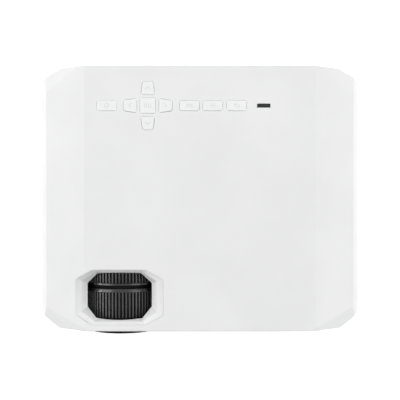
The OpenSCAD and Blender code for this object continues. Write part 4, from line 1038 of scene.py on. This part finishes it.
class PROJECTOR_OT_feet(bpy.types.Operator):
    """Round the rubber feet and dress the adjustable foot, the screws and the tripod insert"""
    bl_idname = "projector.feet"
    bl_label = "Feet and Screws"

    def execute(self, context):
        rubber = soft_rubber("foot_rubber", (0.025, 0.025, 0.026))
        softened("rubber_feet", 0.6 * MM, 3, 40, rubber)
        softened("front_foot_pad", 0.4 * MM, 3, 40, rubber)
        steel = brushed_metal("screw_steel", (0.6, 0.6, 0.61), 0.28)
        softened("cover_screws", 0.15 * MM, 2, 40, steel)
        dress("front_foot_screw", steel)
        dress("tripod_insert", brushed_metal("insert_brass", (0.72, 0.52, 0.25), 0.25))
        return {"FINISHED"}


# ---- Inner parts ----

class PROJECTOR_OT_optics(bpy.types.Operator):
    """Dress the light engine and the parts along the light path"""
    bl_idname = "projector.optics"
    bl_label = "Light Engine"

    def execute(self, context):
        black = moulded_plastic("engine_black", (0.03, 0.03, 0.032), 0.6 * MM, rough=0.6)
        for node in ("engine_housing", "lcd_frame"):
            dress(node, black)
        # The lens tube is black plastic; its colour is set darker than the engine's, which also paints the
        # shade in the groove between the two rings
        dress("lens_tube", moulded_plastic("tube_black_and_groove_shade", (0.008, 0.008, 0.008), 0.6 * MM, rough=0.8))
        glass = coated_glass("engine_glass", (0.9, 0.94, 0.96))
        for node in ("fresnel_lenses", "condenser_lens"):
            dress(node, glass)
        dress("lcd_panel", glossy_plastic("lcd_dark", (0.03, 0.035, 0.05), 0.12))
        dress("led_board", brushed_metal("led_metal", (0.7, 0.7, 0.66), 0.4))
        dress("heat_sink", brushed_metal("sink_aluminium", (0.66, 0.67, 0.68), 0.36))
        fan = moulded_plastic("fan_black", (0.022, 0.022, 0.023), 0.5 * MM, depth=0.015 * MM)
        for node in ("exhaust_fan_frame", "exhaust_fan_rotor", "lcd_fan_frame", "lcd_fan_rotor"):
            dress(node, fan)
        return {"FINISHED"}


class PROJECTOR_OT_electronics(bpy.types.Operator):
    """Dress the boards, the key switches and the speakers"""
    bl_idname = "projector.electronics"
    bl_label = "Electronics"

    def execute(self, context):
        board = circuit_board("board_green", (0.02, 0.12, 0.05))
        for node in ("main_board", "power_board", "key_board"):
            dress(node, board)
        dress("key_switches", moulded_plastic("switch_black", (0.03, 0.03, 0.03), 0.4 * MM))
        dress("speakers", moulded_plastic("speaker_black", (0.03, 0.03, 0.031), 0.6 * MM, rough=0.55))
        return {"FINISHED"}


# ---- Stage ----

# Name, bearing and elevation in degrees, size and power of the lamps round the projector
LAMPS = (
    ("left_strip", 158, 24, (2.2, 0.22), 10.6),
    ("left_sheet", 172, 48, (1.8, 0.6), 8.9),
    ("right_strip", 14, 27, (2.2, 0.3), 12.8),
    ("right_sheet", 8, 50, (1.8, 0.5), 3.6),
)
LAMP_DISTANCE = 1.35
# Strengths at which the near floor glows and the sky lights the scene; 1 is white
FLOOR_GLOW = 0.6
SKY_LIGHT = 0.135
# Distances from the middle between which the floor fades into the sky
FLOOR_FADE = (0.4, 1.0)


def lamp_place(bearing, elevation):
    """Place of a lamp seen from the rings: bearing 0 is to the right, 90 behind."""
    flat = LAMP_DISTANCE * math.cos(math.radians(elevation))
    return (
        LENS_X + flat * math.cos(math.radians(bearing)), flat * math.sin(math.radians(bearing)),
        LENS_Z + LAMP_DISTANCE * math.sin(math.radians(elevation)),
    )


def area_lamp(name, place, aim, size, power):
    """A soft rectangular lamp; the long side of a strip runs along Y."""
    data = bpy.data.lights.new(name, "AREA")
    data.shape = "RECTANGLE"
    data.size, data.size_y = size
    data.energy = power
    lamp = bpy.data.objects.new(name, data)
    ahead = (Vector(aim) - Vector(place)).normalized()
    side = Vector((0, 1, 0))
    side = (side - ahead * side.dot(ahead)).normalized()
    turn = Matrix((side, side.cross(ahead), -ahead)).transposed()
    lamp.matrix_world = Matrix.Translation(place) @ turn.to_4x4()
    bpy.context.scene.collection.objects.link(lamp)


def background_rays(tree):
    """One for rays that see the background, straight, in a gloss or through glass, and else zero."""
    sight = tree.nodes.new("ShaderNodeLightPath")
    seen = sight.outputs["Is Camera Ray"]
    for kind in ("Is Glossy Ray", "Is Transmission Ray"):
        either = tree.nodes.new("ShaderNodeMath")
        either.operation = "MAXIMUM"
        tree.links.new(seen, either.inputs[0])
        tree.links.new(sight.outputs[kind], either.inputs[1])
        seen = either.outputs[0]
    return seen


class PROJECTOR_OT_stage(bpy.types.Operator):
    """Set the camera over the projector, the pale floor and the soft studio lamps"""
    bl_idname = "projector.stage"
    bl_label = "Studio"

    def execute(self, context):
        stage = context.scene.projector_stage
        scene = context.scene
        camera = bpy.data.cameras.new("photo_camera")
        camera.lens = stage.focal
        camera.sensor_width = 36
        holder = bpy.data.objects.new("photo_camera", camera)
        holder.location = (stage.aim_x, stage.aim_y, stage.height)
        scene.collection.objects.link(holder)
        scene.camera = holder
        scene.view_settings.view_transform = "Standard"
        self.lay_floor(scene, tuple(stage.floor_colour))
        self.paint_sky(scene)
        aim = (LENS_X, 0, LENS_Z)
        for name, bearing, elevation, size, power in LAMPS:
            area_lamp(name, lamp_place(bearing, elevation), aim, size, power * stage.lamp_power)
        # A weak lamp in front, for the front wall and the rings
        area_lamp("front_lamp", (0.2, -0.95, 0.4), (0, -0.05, 0.09), (0.3, 1.3), 0.9 * stage.lamp_power)
        return {"FINISHED"}

    def lay_floor(self, scene, colour):
        """A pale floor that fades into the white sky from afar."""
        paper = Finish("studio_paper")
        speck = paper.ramp(paper.noise(4 * MM, 4), tinted(colour, 0.985), colour)
        normal = paper.bump(paper.noise(0.9 * MM, 4), 0.1 * MM, 0.2)
        rough = paper.ramp(paper.noise(12 * MM), 0.85, 0.95)
        reach = paper.node("ShaderNodeVectorMath", operation="LENGTH")
        paper.link(paper.coords.outputs["Object"], reach.inputs[0])
        glow = paper.node("ShaderNodeMath", operation="MULTIPLY")
        paper.link(background_rays(paper.tree), glow.inputs[0])
        paper.link(paper.ramp(reach.outputs["Value"], FLOOR_GLOW, 1.0, at=FLOOR_FADE), glow.inputs[1])
        paper.set(
            Base_Color=speck, Roughness=rough, Normal=normal, Emission_Color=(1, 1, 1),
            Emission_Strength=glow.outputs[0],
        )
        bm = bmesh.new()
        bmesh.ops.create_grid(bm, x_segments=1, y_segments=1, size=3)
        mesh = bpy.data.meshes.new("studio_floor")
        bm.to_mesh(mesh)
        bm.free()
        mesh.materials.append(paper.material)
        ground = bpy.data.objects.new("studio_floor", mesh)
        scene.collection.objects.link(ground)

    def paint_sky(self, scene):
        """A white sky to look at, which lights the scene only faintly."""
        world = bpy.data.worlds.new("studio_world")
        world.use_nodes = True
        tree = world.node_tree
        sky = tree.nodes.new("ShaderNodeMath")
        sky.operation = "MAXIMUM"
        sky.inputs[1].default_value = SKY_LIGHT
        tree.links.new(background_rays(tree), sky.inputs[0])
        tree.nodes["Background"].inputs["Color"].default_value = (1, 1, 1, 1)
        tree.links.new(sky.outputs[0], tree.nodes["Background"].inputs["Strength"])
        scene.world = world


# ---- Panel and registration ----

STEPS = [
    PROJECTOR_OT_covers, PROJECTOR_OT_window_frame, PROJECTOR_OT_keys, PROJECTOR_OT_status_window,
    PROJECTOR_OT_focus_rings, PROJECTOR_OT_lens_barrel, PROJECTOR_OT_grilles, PROJECTOR_OT_sockets,
    PROJECTOR_OT_disc_drive, PROJECTOR_OT_feet, PROJECTOR_OT_optics, PROJECTOR_OT_electronics,
    PROJECTOR_OT_stage,
]
SETTINGS = {
    "projector_shell": ShellSettings, "projector_lens": LensSettings, "projector_keys": KeySettings,
    "projector_drive": DriveSettings, "projector_stage": StageSettings,
}


class PROJECTOR_PT_panel(bpy.types.Panel):
    """Buttons and settings of the projector's pieces."""
    bl_label = "Disc Projector"
    bl_idname = "PROJECTOR_PT_panel"
    bl_space_type = "VIEW_3D"
    bl_region_type = "UI"
    bl_category = "Projector"

    def draw(self, context):
        layout = self.layout
        for name in SETTINGS:
            box = layout.box()
            group = getattr(context.scene, name)
            for key in group.__annotations__:
                box.prop(group, key)
        for step in STEPS:
            layout.operator(step.bl_idname)


def register():
    """Registers the settings, the operators and the panel."""
    for group in SETTINGS.values():
        bpy.utils.register_class(group)
    for step in STEPS:
        bpy.utils.register_class(step)
    bpy.utils.register_class(PROJECTOR_PT_panel)
    for name, group in SETTINGS.items():
        setattr(bpy.types.Scene, name, bpy.props.PointerProperty(type=group))


def unregister():
    """Takes back what register did, last first."""
    for name in SETTINGS:
        delattr(bpy.types.Scene, name)
    bpy.utils.unregister_class(PROJECTOR_PT_panel)
    for step in reversed(STEPS):
        bpy.utils.unregister_class(step)
    for group in reversed(list(SETTINGS.values())):
        bpy.utils.unregister_class(group)


def main():
    register()
    bpy.ops.projector.covers()
    bpy.ops.projector.window_frame()
    bpy.ops.projector.keys()
    bpy.ops.projector.status_window()
    bpy.ops.projector.focus_rings()
    bpy.ops.projector.lens_barrel()
    bpy.ops.projector.grilles()
    bpy.ops.projector.sockets()
    bpy.ops.projector.disc_drive()
    bpy.ops.projector.feet()
    bpy.ops.projector.optics()
    bpy.ops.projector.electronics()
    bpy.ops.projector.stage()


if __name__ == "__main__":
    main()
